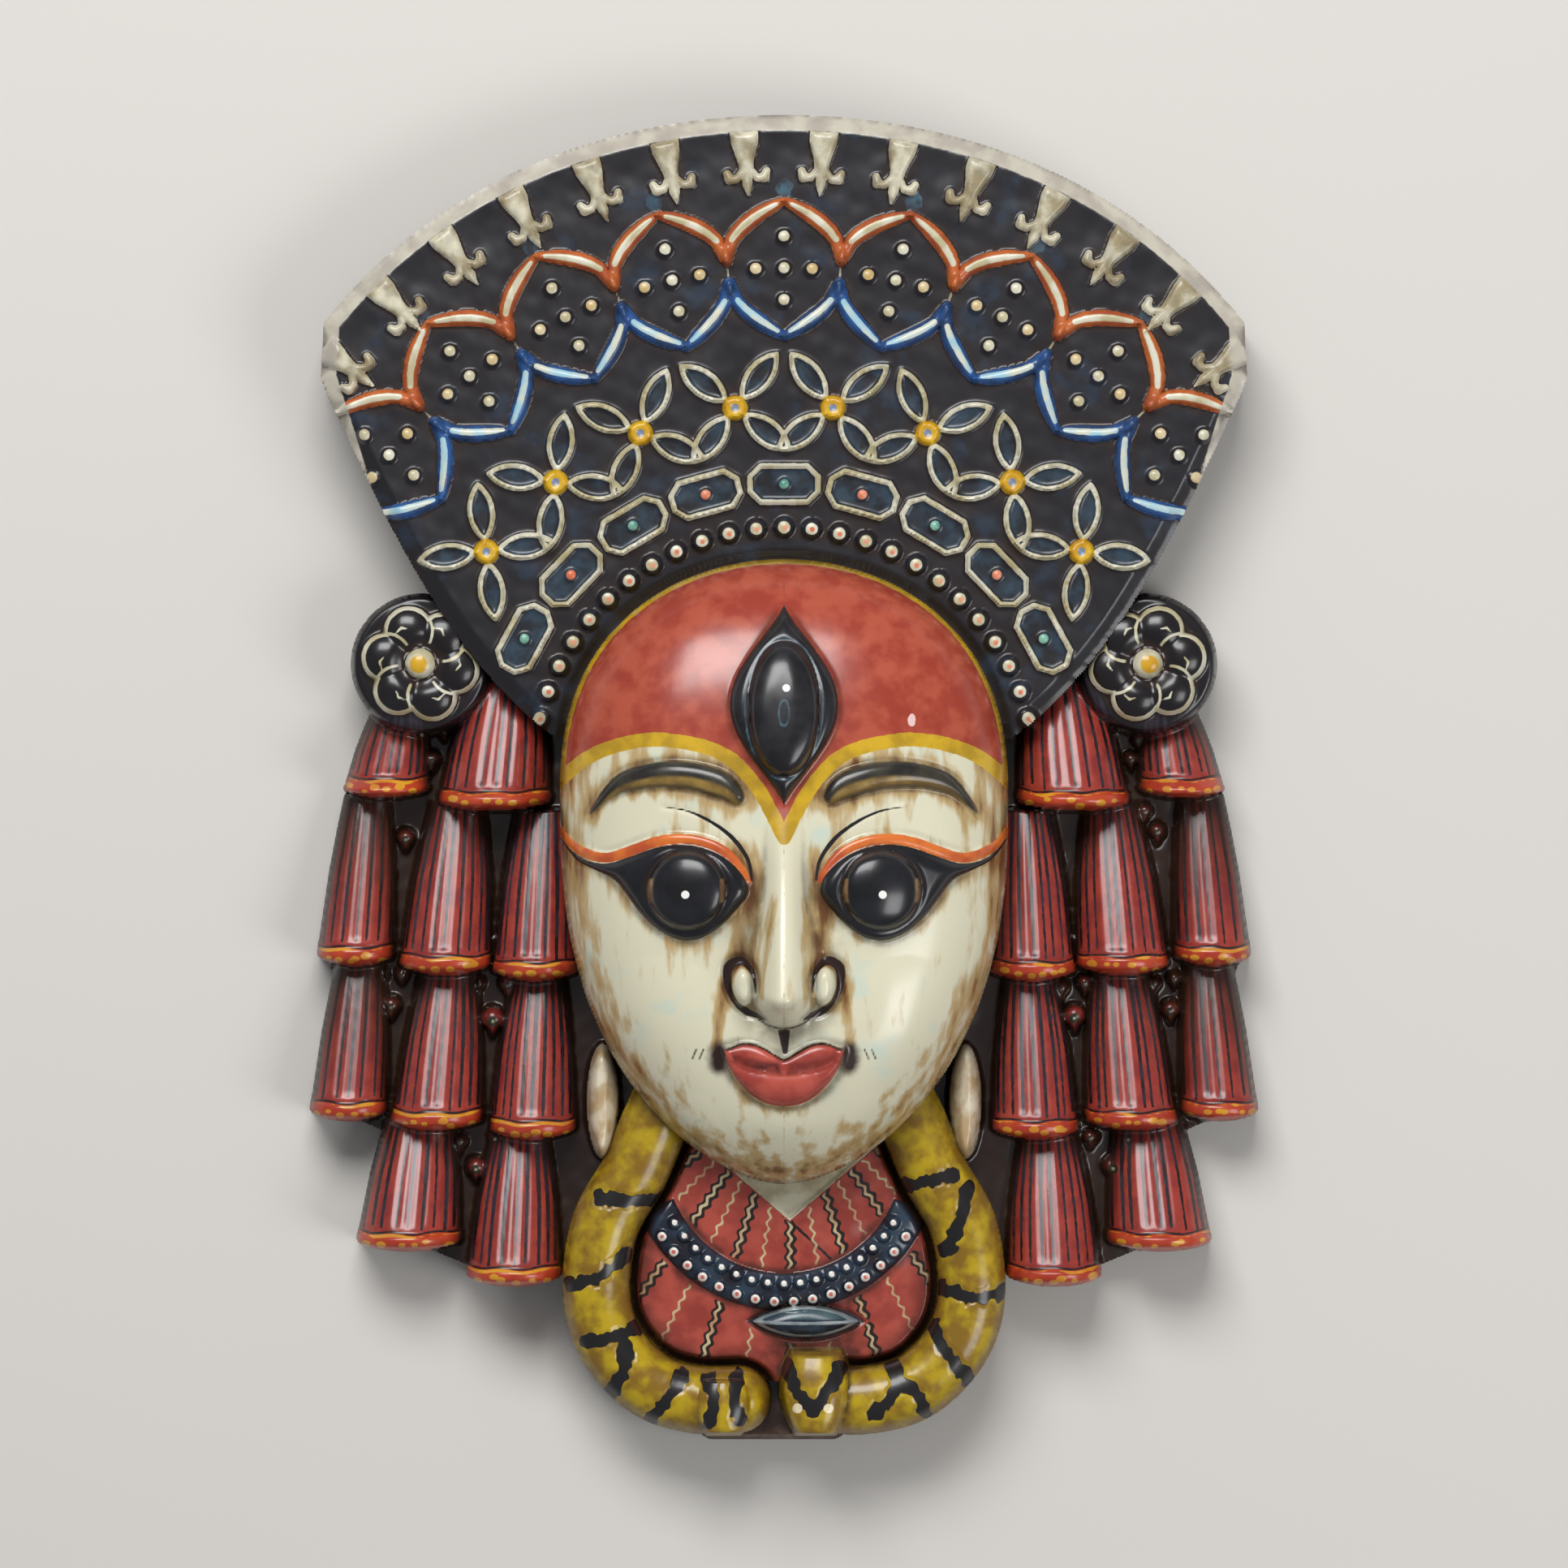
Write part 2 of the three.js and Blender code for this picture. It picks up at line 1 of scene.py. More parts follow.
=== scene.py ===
# %% [markdown]
# A goddess mask, carved from one block of wood, primed, painted, antiqued and varnished. It lies
# on its back. The real mask is cut with gouges from a flat block, so every form on its front can
# be seen from above: there is no place where wood hangs over air. That makes a simple way of
# modelling good enough: a fine flat grid for each region, whose points are lifted to the height
# of the carving. Sculpting by hand or boolean joins would do too, but a height that is worked
# out by functions keeps every petal and tassel the same and easy to change.

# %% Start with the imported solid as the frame
import math
import bmesh
import bpy
import numpy as np
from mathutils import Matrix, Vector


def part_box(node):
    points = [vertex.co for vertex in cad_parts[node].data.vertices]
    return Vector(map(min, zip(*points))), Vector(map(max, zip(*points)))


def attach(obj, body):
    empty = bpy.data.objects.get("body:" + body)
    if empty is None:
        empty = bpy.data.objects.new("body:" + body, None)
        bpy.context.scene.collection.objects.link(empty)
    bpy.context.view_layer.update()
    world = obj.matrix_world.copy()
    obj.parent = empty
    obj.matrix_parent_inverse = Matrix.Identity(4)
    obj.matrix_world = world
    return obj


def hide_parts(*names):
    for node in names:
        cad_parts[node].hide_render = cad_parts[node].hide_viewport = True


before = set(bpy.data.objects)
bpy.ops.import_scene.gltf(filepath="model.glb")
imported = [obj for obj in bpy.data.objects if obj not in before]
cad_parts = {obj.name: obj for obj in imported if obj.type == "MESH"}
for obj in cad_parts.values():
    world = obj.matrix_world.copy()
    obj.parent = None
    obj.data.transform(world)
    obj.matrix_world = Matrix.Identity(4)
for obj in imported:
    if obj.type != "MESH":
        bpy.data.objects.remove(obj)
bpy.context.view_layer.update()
MM = 0.001
LOW, HIGH = [np.array(corner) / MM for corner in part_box("goddess_mask")]
HALF_HEIGHT = (HIGH[1] - LOW[1]) / 2
HALF_WIDTH = (HIGH[0] - LOW[0]) / 2
print("frame box in mm:", LOW.round(1), HIGH.round(1))

# %% [markdown]
# All lengths below are millimetres, in the same places as on the solid. A form starts as a
# signed distance: how far each point is outside an outline, negative inside. The same distance
# gives the height of the carving and the edge of the paint, so the paint always sits on the
# carving, as it does when a painter follows a carver's lines.

# %% Distances to simple outlines
def ball(x, y, cx, cy, r):
    return np.hypot(x - cx, y - cy) - r


def oval(x, y, cx, cy, a, b):
    """Close to the distance from an ellipse with half axes a and b."""
    share = np.hypot((x - cx) / a, (y - cy) / b)
    slope = np.hypot((x - cx) / a**2, (y - cy) / b**2) / np.maximum(share, 1e-6)
    return (share - 1) / np.maximum(slope, 1 / max(a, b))


def stroke(x, y, points, radii):
    """A brush stroke through the points, with its own half width at each of them."""
    radii = np.broadcast_to(np.array(radii, float), len(points)) if np.ndim(radii) == 0 else radii
    nearest = np.full(np.shape(x), 1e3)
    for (x0, y0), (x1, y1), r0, r1 in zip(points[:-1], points[1:], radii[:-1], radii[1:]):
        dx, dy = x1 - x0, y1 - y0
        t = np.clip(((x - x0) * dx + (y - y0) * dy) / (dx * dx + dy * dy + 1e-9), 0, 1)
        away = np.hypot(x - x0 - dx * t, y - y0 - dy * t) - (r0 + (r1 - r0) * t)
        nearest = np.minimum(nearest, away)
    return nearest


def lens(x, y, length, width):
    """A pointed leaf from (0, 0) to (0, length): where two circles overlap."""
    radius = (length**2 / 4 + width**2 / 4) / width
    middle = radius - width / 2
    return np.hypot(np.abs(x) + middle, y - length / 2) - radius


def rounded_box(x, y, a, b, r):
    dx, dy = np.abs(x) - (a - r), np.abs(y) - (b - r)
    return np.hypot(np.maximum(dx, 0), np.maximum(dy, 0)) + np.minimum(np.maximum(dx, dy), 0) - r


def polygon(x, y, points):
    """Distance to a closed outline with many corners."""
    nearest, inside = np.full(np.shape(x), 1e6), np.zeros(np.shape(x), bool)
    for (x0, y0), (x1, y1) in zip(points, points[1:] + points[:1]):
        dx, dy = x1 - x0, y1 - y0
        t = np.clip(((x - x0) * dx + (y - y0) * dy) / (dx * dx + dy * dy + 1e-9), 0, 1)
        nearest = np.minimum(nearest, (x - x0 - dx * t) ** 2 + (y - y0 - dy * t) ** 2)
        crosses = (y0 > y) != (y1 > y)
        inside ^= crosses & (x < (x1 - x0) * (y - y0) / (y1 - y0 + 1e-12) + x0)
    return np.where(inside, -1, 1) * np.sqrt(nearest)


# %% Curves, turns and soft steps
def smooth(value, low, high):
    t = np.clip((value - low) / (high - low), 0, 1)
    return t * t * (3 - 2 * t)


def fade(value, reach):
    return np.exp(-((value / reach) ** 2))


def turned(x, y, cx, cy, angle):
    """Coordinates around (cx, cy), with +Y pointing along that compass angle."""
    s, c = math.sin(angle), math.cos(angle)
    return (x - cx) * c - (y - cy) * s, (x - cx) * s + (y - cy) * c


def around(radius, angle):
    return radius * math.sin(angle), radius * math.cos(angle)


def curve(points, steps=8):
    """A smooth line through a few points (Catmull-Rom)."""
    p = np.array([points[0]] + list(points) + [points[-1]], float)
    made = []
    for a, b, c, d in zip(p[:-3], p[1:-2], p[2:-1], p[3:]):
        for t in np.arange(steps) / steps:
            made.append(0.5 * (2 * b + (c - a) * t + (2 * a - 5 * b + 4 * c - d) * t**2
                               + (3 * b - a - 3 * c + d) * t**3))
    return [tuple(q) for q in made] + [tuple(p[-1])]


def spread(i, count, end):
    return math.radians(-end + 2 * end * i / (count - 1))


def blurred(height, cells):
    """Mean over a few box blurs: what the surface would be without its fine carving."""
    for _ in range(2):
        for axis in (0, 1):
            pad = [(0, 0), (0, 0)]
            pad[axis] = (cells + 1, cells)
            total = np.cumsum(np.pad(height, pad, mode="edge"), axis=axis)
            high = np.take(total, range(2 * cells + 1, total.shape[axis]), axis=axis)
            low = np.take(total, range(0, total.shape[axis] - 2 * cells - 1), axis=axis)
            height = (high - low) / (2 * cells + 1)
    return height


def worn(height):
    """The carving with its sharpest edges rubbed down."""
    return height * 0.4 + blurred(height, 1) * 0.6


def noise(x, y, scale, seed):
    """Soft lumps between about -1 and 1, the same each run."""
    rng = np.random.default_rng(seed)
    total = np.zeros(np.shape(x))
    for _ in range(7):
        angle, phase = rng.uniform(0, 2 * math.pi, 2)
        size = scale * rng.uniform(0.6, 1.6)
        total += np.sin((x * math.cos(angle) + y * math.sin(angle)) * 2 * math.pi / size + phase)
    return total / 3.5


# %% [markdown]
# Each region is built in the same four steps. A grid is made over its box and lifted to the
# carving. Cells outside the outline are deleted, and the stepped edge that this leaves is pulled
# onto the true outline. The edge is then extruded down to the back plane, and the back is closed.
# Behind the face it rises again into a hollow, as such masks are scooped out to save weight.
# The paint is not a picture: each colour is stored as its distance, and the material turns
# a distance into an edge.

# %% From a height and an outline to a closed piece
BACK_BEVEL, BACK_SHARE = 1.5, 0.996
PAINT_REACH = 4
FINE_CARVING, BROAD_CARVING = 3, 9
HOLLOW_RINGS = 16


def grid(x0, x1, y0, y1, step):
    xs = np.arange(x0, x1 + step, step)
    ys = np.arange(y0, y1 + step, step)
    return np.meshgrid(xs, ys)


def build(name, x, y, height, outline, paint, step, hollow=None, wax_and_shade=1.0):
    ny, nx = x.shape
    # The fine and the broad hollows, stored as recess and depth, which the finish darkens: partly the
    # real dark wax, partly painted shade.
    fine = height - blurred(height, round(FINE_CARVING / step))
    broad = height - blurred(height, round(BROAD_CARVING / step))
    paint = dict(paint, recess=-fine / 1.2 * wax_and_shade, depth=-broad / 5 * wax_and_shade)
    bm = bmesh.new()
    bmesh.ops.create_grid(bm, x_segments=nx - 1, y_segments=ny - 1, size=0.5)
    cell = bm.verts.layers.int.new("cell")
    inside = (outline < 0).ravel()
    xs, ys, zs = x.ravel(), y.ravel(), height.ravel()
    for v in bm.verts:
        v[cell] = round((v.co.y + 0.5) * (ny - 1)) * nx + round((v.co.x + 0.5) * (nx - 1))
        v.co = (xs[v[cell]], ys[v[cell]], zs[v[cell]])
    bmesh.ops.delete(bm, geom=[v for v in bm.verts if not inside[v[cell]]], context="VERTS")
    bmesh.ops.delete(bm, geom=[v for v in bm.verts if len(v.link_faces) < 2], context="VERTS")
    gy, gx = [g.ravel() for g in np.gradient(outline, step)]
    out = outline.ravel()
    edge = [e for e in bm.edges if e.is_boundary]
    for v in {v for e in edge for v in e.verts}:
        k = v[cell]
        steep = gx[k] ** 2 + gy[k] ** 2 + 1e-9
        v.co.x -= max(out[k], -step) * gx[k] / steep
        v.co.y -= max(out[k], -step) * gy[k] / steep
    close_back(bm, edge, hollow)
    bmesh.ops.recalc_face_normals(bm, faces=bm.faces)
    bmesh.ops.scale(bm, vec=(MM, MM, MM), verts=bm.verts)
    mesh = bpy.data.meshes.new(name)
    bm.to_mesh(mesh)
    bm.free()
    cells = np.empty(len(mesh.vertices), int)
    mesh.attributes["cell"].data.foreach_get("value", cells)
    for key, distance in paint.items():
        stored = np.clip(distance, -PAINT_REACH, PAINT_REACH).ravel()[cells]
        mesh.attributes.new(key, "FLOAT", "POINT").data.foreach_set("value", stored)
    mesh.attributes.remove(mesh.attributes["cell"])
    mesh.shade_smooth()
    mesh.set_sharp_from_angle(angle=math.radians(60))
    piece = bpy.data.objects.new(name, mesh)
    bpy.context.scene.collection.objects.link(piece)
    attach(piece, "root")
    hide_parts("goddess_mask")
    print(name, "has", sum(len(p.vertices) - 2 for p in mesh.polygons), "triangles")
    return piece


def extruded(bm, edge, place):
    """A new ring of faces from this edge, whose new points go to place(x, y, z)."""
    made = bmesh.ops.extrude_edge_only(bm, edges=edge)["geom"]
    for v in made:
        if isinstance(v, bmesh.types.BMVert):
            v.co = place(*v.co)
    return [e for e in made if isinstance(e, bmesh.types.BMEdge) and e.is_boundary]


def close_back(bm, edge, hollow):
    """Down to the back plane, and, where there is a hollow, in to its mouth and up to its roof."""
    edge = extruded(bm, edge, lambda px, py, pz: (px, py, BACK_BEVEL))
    edge = extruded(bm, edge, lambda px, py, pz: (px * BACK_SHARE, py * BACK_SHARE, 0))
    if hollow:
        mouth, roof = hollow
        edge = extruded(bm, edge, lambda px, py, pz: (*mouth(px, py), 0))
        wide = np.cos(np.linspace(0, 0.98, HOLLOW_RINGS) * math.pi / 2)
        for shrink in [1, *(wide[1:] / wide[:-1])]:
            edge = extruded(bm, edge, lambda px, py, pz: roof(px, py, shrink))
    bmesh.ops.holes_fill(bm, edges=edge, sides=0)


# %% [markdown]
# The face is carved first, because everything else fits around it. It is a calm, symmetrical
# goddess's face, long in the nose, with huge eyes and a third one in the forehead. It starts as
# a dome, and each feature is a soft bump or dip at its share of the face's height.

# %% The oval of the face and its landmarks
FACE_WIDTH, FACE_HEIGHT, FACE_TOP = 155, 216, 76
FACE_EDGE, FACE_RISE = 34, 42
FACE_WALL = 15
FACE_FOOT = FACE_TOP - FACE_HEIGHT
BROW_LINE = FACE_TOP - FACE_HEIGHT / 3
FACE_MIDDLE = FACE_TOP - FACE_HEIGHT / 2
EYE_LINE = FACE_TOP - 0.52 * FACE_HEIGHT
NOSE_FOOT = FACE_TOP - 0.735 * FACE_HEIGHT
MOUTH_LINE = FACE_TOP - 0.812 * FACE_HEIGHT
FACE_WIDEST = FACE_TOP - 0.385 * FACE_HEIGHT


def face_half_width(y):
    up = np.clip((y - FACE_WIDEST) / (FACE_TOP - FACE_WIDEST), 0, 1)
    down = np.clip((FACE_WIDEST - y) / (FACE_WIDEST - FACE_FOOT), 0, 1)
    return FACE_WIDTH / 2 * (1 - up**2.5) ** 0.5 * (1 - down**2.5) ** 0.6


FACE_TURN = np.linspace(0, math.pi, 61)
FACE_YS = (FACE_TOP + FACE_FOOT) / 2 + FACE_HEIGHT / 2 * np.cos(FACE_TURN)
FACE_OUTLINE = [(float(face_half_width(v)), float(v)) for v in FACE_YS]
FACE_OUTLINE += [(-a, b) for a, b in FACE_OUTLINE[-2:0:-1]]


def face_edge(x, y):
    return polygon(x, y, FACE_OUTLINE)


def face_dome(x, y):
    across = np.clip(np.abs(x) / np.maximum(face_half_width(y), 0.01), 0, 1)
    along = np.clip(np.abs(y - FACE_MIDDLE) / (FACE_HEIGHT / 2), 0, 1)
    return FACE_EDGE + FACE_RISE * (1 - across**2.6) ** 0.5 * (1 - along**3.2) ** 0.5


def dome(distance, half, rise):
    """A rounded form whose middle lies half a width inside its outline."""
    return rise * np.sqrt(1 - np.clip(1 + distance / half, 0, 1) ** 2)


def blank(x):
    return np.full(np.shape(x), float(PAINT_REACH))


def put(field, x, y, cx, cy, reach, shape, angle=0.0):
    """Join a small form, drawn in its own coordinates, into a field of distances."""
    near = (np.abs(x - cx) < reach) & (np.abs(y - cy) < reach)
    field[near] = np.minimum(field[near], shape(*turned(x[near], y[near], cx, cy, angle)))


def disc(radius):
    """A round shape for put()."""
    return lambda a, b: np.hypot(a, b) - radius


# %% [markdown]
# The features are painted as much as carved: the eyes are glossy black almonds under an orange
# lid, the brows are black over tan, and a yellow band parts the red forehead from the cream
# face. Each of them is drawn once, on the right half, and read through the distance from the
# middle line, so the left half is its mirror image.

# %% Lines of the face
FOREHEAD_LINE = curve([(0, -20), (7.5, -5.5), (14, 3), (20, 8), (29, 11.5), (44, 13.5), (57, 11.5),
                       (68, 7), (79, -2)])
FOREHEAD_BAND = 2.4
LID_LINE = curve([(79, -13), (75, -20.5), (69, -25), (61, -27), (52.5, -24.6), (44, -21.6),
                  (35.7, -20.5), (27.4, -21.6), (20, -25), (14.2, -31), (12, -35)], 4)
EYE_OUTLINE = curve([(80, -14), (75, -22.5), (69, -27.4), (61, -28.9), (52.5, -26.5), (44, -23.5),
                     (35.7, -22.3), (27.4, -23.5), (20, -27), (14, -33), (12.4, -38.8), (16.2, -44.5),
                     (22, -50.5), (29, -54.6), (36, -54.8), (43, -51.5), (49, -46), (53.5, -40),
                     (58, -34.5), (64, -31.5), (71, -28), (76, -22.5)], 4)
EYEBALL = (33.3, -38)
EYEBALL_RADIUS = 13.6
BROW_PATH = curve([(66.5, -11.5), (57, -2), (44.5, 1.4), (31.5, 1), (20.5, -2.3), (16, -6)], 5)
BROW_HALVES = (0.3, 3.6, 4.6, 4.8, 2.6)
BROW_SHADOW = 2.2
CREASE = curve([(41.5, -9.5), (33, -10.9), (24.6, -14.8), (17.3, -20.4), (12.3, -27.6), (11, -34.5)], 5)
THIRD_EYE_FOOT, THIRD_EYE_HEIGHT, THIRD_EYE_WIDTH = -9, 69, 37
THIRD_BALL = (0, THIRD_EYE_FOOT + 33, 12, 23)
NOSE_RISE, NOSE_TIP_CURVE = 22, 0.04
WING_X, WING_Y, WING_A, WING_B, WING_RISE = 13.8, NOSE_FOOT + 12, 4.4, 7.4, 7
NOSTRIL_LINE = curve([(9.6, NOSE_FOOT + 10), (10.6, NOSE_FOOT + 16.5), (14.6, NOSE_FOOT + 20.8),
                      (18.9, NOSE_FOOT + 18.4), (19.1, NOSE_FOOT + 12), (16.6, NOSE_FOOT + 6.6),
                      (12.8, NOSE_FOOT + 3.4), (9.6, NOSE_FOOT + 2.2), (6.6, NOSE_FOOT + 0.6)], 4)
NOSTRIL_HALVES = (0.3, 0.8, 1.4, 1.8, 1.2, 0.9, 1.3, 1, 0.3)
MOUTH_HALF = 20.5


def swell(points, *halves):
    """Half widths for every point of a line, from a few that are evenly spread."""
    return np.interp(np.linspace(0, 1, len(points)), np.linspace(0, 1, len(halves)), halves)


def third_eye(x, y, margin=0.0):
    up = np.clip((y - THIRD_EYE_FOOT) / THIRD_EYE_HEIGHT, 0, 1)
    return (np.abs(x) - THIRD_EYE_WIDTH / 2 * np.sin(math.pi * up) ** 1.3) * 0.85 + margin


def swollen_stroke(x, y, points, *halves):
    return stroke(x, y, points, swell(points, *halves))


def nose_tip(x, y):
    """How far a point is above the rounded foot of the nose."""
    return y - NOSE_TIP_CURVE * x**2 - NOSE_FOOT


def roll(distance, half):
    """Height of a round roll, as a share, at a distance from its middle line."""
    return np.sqrt(np.clip(1 - (distance / half) ** 2, 0, 1))


def lip_lines(ax):
    """Height of the upper lip's edge, the line between the lips and the lower lip's edge."""
    t = np.clip(ax / MOUTH_HALF, 0, 1)
    upper = MOUTH_LINE + 3.4 + 5.6 * np.sin(math.pi / 2 * np.clip(t / 0.62, 0, 1)) ** 1.25
    upper -= 2 * smooth(t, 0.66, 1)
    between = MOUTH_LINE - 0.8 + 2.6 * t**1.5 + 5.2 * t**6
    lower = MOUTH_LINE + 6.6 - 19 * (1 - t**2.2) ** 0.7
    return upper, between, lower


# %% Height of the face
def face_height(x, y):
    ax = np.abs(x)
    h = face_dome(x, y)
    along = np.clip((BROW_LINE - 6 - y) / (BROW_LINE - 6 - NOSE_FOOT), 0, 1)
    across = np.exp(-(ax / (6 + 4 * along)) ** 2.3)
    h += NOSE_RISE * along**1.2 * smooth(nose_tip(x, y), -5, 8) * across
    h -= 5 * fade(ax - 25, 19) * fade(y - EYE_LINE, 15)
    h += 2.5 * fade(ax - 40, 22) * fade(y - NOSE_FOOT, 26)
    h += 3 * fade(x, 18) * fade(y - MOUTH_LINE, 14) + 4 * fade(x, 16) * fade(y - FACE_FOOT - 21, 12)
    wing = oval(ax, y, WING_X, WING_Y, WING_A, WING_B)
    h = np.maximum(h, face_dome(x, y) + 1 + dome(wing, WING_A, WING_RISE))
    nostril = swollen_stroke(ax, y, NOSTRIL_LINE, *NOSTRIL_HALVES)
    h -= 1.2 * fade(np.maximum(nostril, 0), 0.9)
    h -= 0.8 * fade(x, 2.4) * fade(y - NOSE_FOOT + 7, 4)
    upper, between, lower = lip_lines(ax)
    half_lip = np.maximum(upper - between, 0.5) / 2
    h += 3.4 * roll(y - between - half_lip, half_lip + 0.6) * (ax < MOUTH_HALF)
    half_lip = np.maximum(between - lower, 0.5) / 2
    h += 4.2 * roll(y - between + half_lip, half_lip + 0.4) * (ax < MOUTH_HALF)
    eye = polygon(ax, y, EYE_OUTLINE)
    eyeball = ball(ax, y, *EYEBALL, EYEBALL_RADIUS)
    h += dome(eye, 5, 4.2) + dome(eyeball, EYEBALL_RADIUS, 5) - 1.3 * fade(eyeball, 0.9) * (eye < -2)
    h += dome(swollen_stroke(ax, y, LID_LINE, 1, 2.2, 2.4, 2.2, 1), 2.2, 1.7)
    brow = swollen_stroke(ax, y, BROW_PATH, *BROW_HALVES)
    h += dome(brow, 4.4, 2.8) - 0.5 * fade(brow - 0.6, 0.8)
    h -= 0.45 * fade(stroke(ax, y, CREASE, 0), 0.8)
    lid = third_eye(x, y)
    inner = oval(x, y, *THIRD_BALL)
    h += dome(lid, 6, 4.6) + dome(inner, 11, 4.6) - 1.2 * fade(inner, 0.9) * (lid < -1)
    return np.minimum(worn(h), HIGH[2] - 0.1)


# %% The hollow behind the face
HOLLOW_FOOT, HOLLOW_TOP = FACE_FOOT + FACE_WALL + 12, FACE_TOP - FACE_WALL - 4
HOLLOW_MIDDLE = (HOLLOW_FOOT + HOLLOW_TOP) / 2
ROOF_ACROSS, ROOF_ALONG = 1.15, 1.12


def hollow_mouth(px, py):
    long = (HOLLOW_TOP - HOLLOW_FOOT) / FACE_HEIGHT
    return px * (1 - FACE_WALL / (FACE_WIDTH / 2)), HOLLOW_MIDDLE + (py - FACE_MIDDLE) * long


def hollow_roof(px, py, shrink):
    """The roof follows the face's dome, one wall below it, and is a little steeper."""
    cx, cy = px * shrink, HOLLOW_MIDDLE + (py - HOLLOW_MIDDLE) * shrink
    outer = face_dome(cx * ROOF_ACROSS, FACE_MIDDLE + (cy - FACE_MIDDLE) * ROOF_ALONG)
    return cx, cy, float(outer) - FACE_WALL


# %% Paint of the face
def face_stain(x, y, edge, away, brow, eye, wing, lips):
    """Where the brown wax stays: the larger, the darker."""
    ax = np.abs(x)
    fold = stroke(ax, y, [(20.5, NOSE_FOOT + 12), (22, NOSE_FOOT), (23, NOSE_FOOT - 8)], 0)
    beside_nose = stroke(ax, y, [(14, EYE_LINE + 10), (11, EYE_LINE - 16), (15, WING_Y + 11)], 2)
    stain = 1.3 * smooth(edge, -17, -1) + 1.4 * fade(brow, 4) + 0.9 * fade(eye - 1, 3.5)
    stain += 1.4 * fade(wing, 3.5) + 1.3 * fade(np.maximum(beside_nose, 0), 5)
    stain += 1.5 * fade(fold, 2.8) + 1.2 * fade(lips, 3) * (y < MOUTH_LINE + 2)
    stain += 0.4 * fade(np.hypot(x, y - FACE_FOOT - 12), 14) + 0.7 * fade(away, 5)
    stain += 0.6 * fade(np.hypot(ax - 30, y + 14), 16)
    return stain * smooth(wing, -2.4, 0.6)


def mouth_paint(x, y):
    """The lips, their shade, and the fine dark lines beside and above them."""
    ax = np.abs(x)
    upper, between, lower = lip_lines(ax)
    lips = np.maximum(np.maximum(y - upper, lower - y) * 0.8, ax - MOUTH_HALF)
    shade = np.maximum(np.abs(y - between - 1.6) - 1.9, np.abs(ax - 9.5) - 8.2)
    lines = np.abs(y - upper) - 0.5 + (ax > MOUTH_HALF) * PAINT_REACH
    philtrum = stroke(x, y, [(0, NOSE_FOOT - 3), (0.4, NOSE_FOOT - 10.5)], [2.1, 0.9])
    lines = np.minimum(lines, np.maximum(philtrum, y - NOSE_FOOT + 3))
    for tick in ([(27.5, 7), (29, 3.6)], [(30, 7), (31.3, 3.8)]):
        lines = np.minimum(lines, stroke(ax, y, [(a, MOUTH_LINE + b) for a, b in tick], 0.3))
    return lips, shade, lines


def face_paint(x, y):
    ax = np.abs(x)
    xs, ys = zip(*FOREHEAD_LINE)
    away = stroke(ax, y, FOREHEAD_LINE, 0)
    forehead = np.where(y > np.interp(ax, xs, ys), -away, away)
    edge = face_edge(x, y)
    rim = np.maximum(-edge - 1.8, forehead)
    lips, lip_shade, mouth_lines = mouth_paint(x, y)
    eye = polygon(ax, y, EYE_OUTLINE)
    crease = swollen_stroke(ax, y, CREASE, 0.15, 0.5, 0.8, 0.4)
    brow = swollen_stroke(ax, y, BROW_PATH, *BROW_HALVES)
    low_brow = [(px, py - BROW_SHADOW) for px, py in BROW_PATH]
    wing = oval(ax, y, WING_X, WING_Y, WING_A, WING_B)
    nostril = swollen_stroke(ax, y, NOSTRIL_LINE, *NOSTRIL_HALVES)
    under_tip = np.maximum(np.abs(nose_tip(x, y) + 2.4) - 0.35, ax - 9)
    iris = oval(ax, y, *EYEBALL, EYEBALL_RADIUS - 2, EYEBALL_RADIUS + 8)
    crescents = np.maximum(ball(ax, y, *EYEBALL, EYEBALL_RADIUS - 0.4), -iris)
    chips = np.minimum(oval(x, y, 43.7, 20.3, 1.3, 2.2),
                       stroke(x, y, [(38, 12.8), (44, 13.4), (54, 11.8)], 0.5))
    inner_ring = np.maximum(np.abs(oval(x, y, *THIRD_BALL) - 1.2) - 0.35, third_eye(x, y, 1.5))
    stain = face_stain(x, y, edge, away, brow, eye, wing, lips)
    return {
        "forehead": forehead,
        "band": np.minimum(away - FOREHEAD_BAND, rim),
        "lid": swollen_stroke(ax, y, LID_LINE, 0.8, 1.6, 1.8, 1.8, 1.7, 0.8),
        "brow": brow,
        "brow_tan": swollen_stroke(ax, y, low_brow, 0, 0.9, 1.6, 1.7, 0.6),
        "eye": np.minimum(eye, crease),
        "crescent": np.maximum(crescents, np.abs(y - EYEBALL[1]) - 4),
        "third": third_eye(x, y),
        # Blue-grey line round the third eye's ball, and a small blue ring below its gleam that is a
        # painted highlight
        "third_ring_and_highlight": np.minimum(inner_ring, np.abs(oval(x, y, 0, 22.5, 1.7, 4.4)) - 0.4),
        "gleam": np.minimum(ball(ax, y, 33.6, -39.4, 1.4), ball(x, y, 0.8, 31, 1.3)),
        "lips": lips,
        "lip_shade": lip_shade,
        "corner": oval(ax, y, MOUTH_HALF + 1.8, NOSE_FOOT - 12.5, 3.4, 5.6),
        "lines": np.minimum(mouth_lines, np.minimum(nostril, under_tip)),
        "chip": chips,
        "stain": stain * 2 - 1.5,
    }


FACE_STEP = 0.6
FACE_BOX = (-78.6, 78.6, FACE_FOOT - FACE_STEP, FACE_TOP + FACE_STEP)
x, y = grid(*FACE_BOX, FACE_STEP)
face = build("face", x, y, face_height(x, y), face_edge(x, y), face_paint(x, y), FACE_STEP,
             (hollow_mouth, hollow_roof))

# %% [markdown]
# The crown is a fan of one thickness with a bevelled rim. Its carving stands in rows, each row on
# a circle about the same centre, so a row needs only a radius, a count and an angle to its end.
# Every motif is stamped at its place with its own small outline.

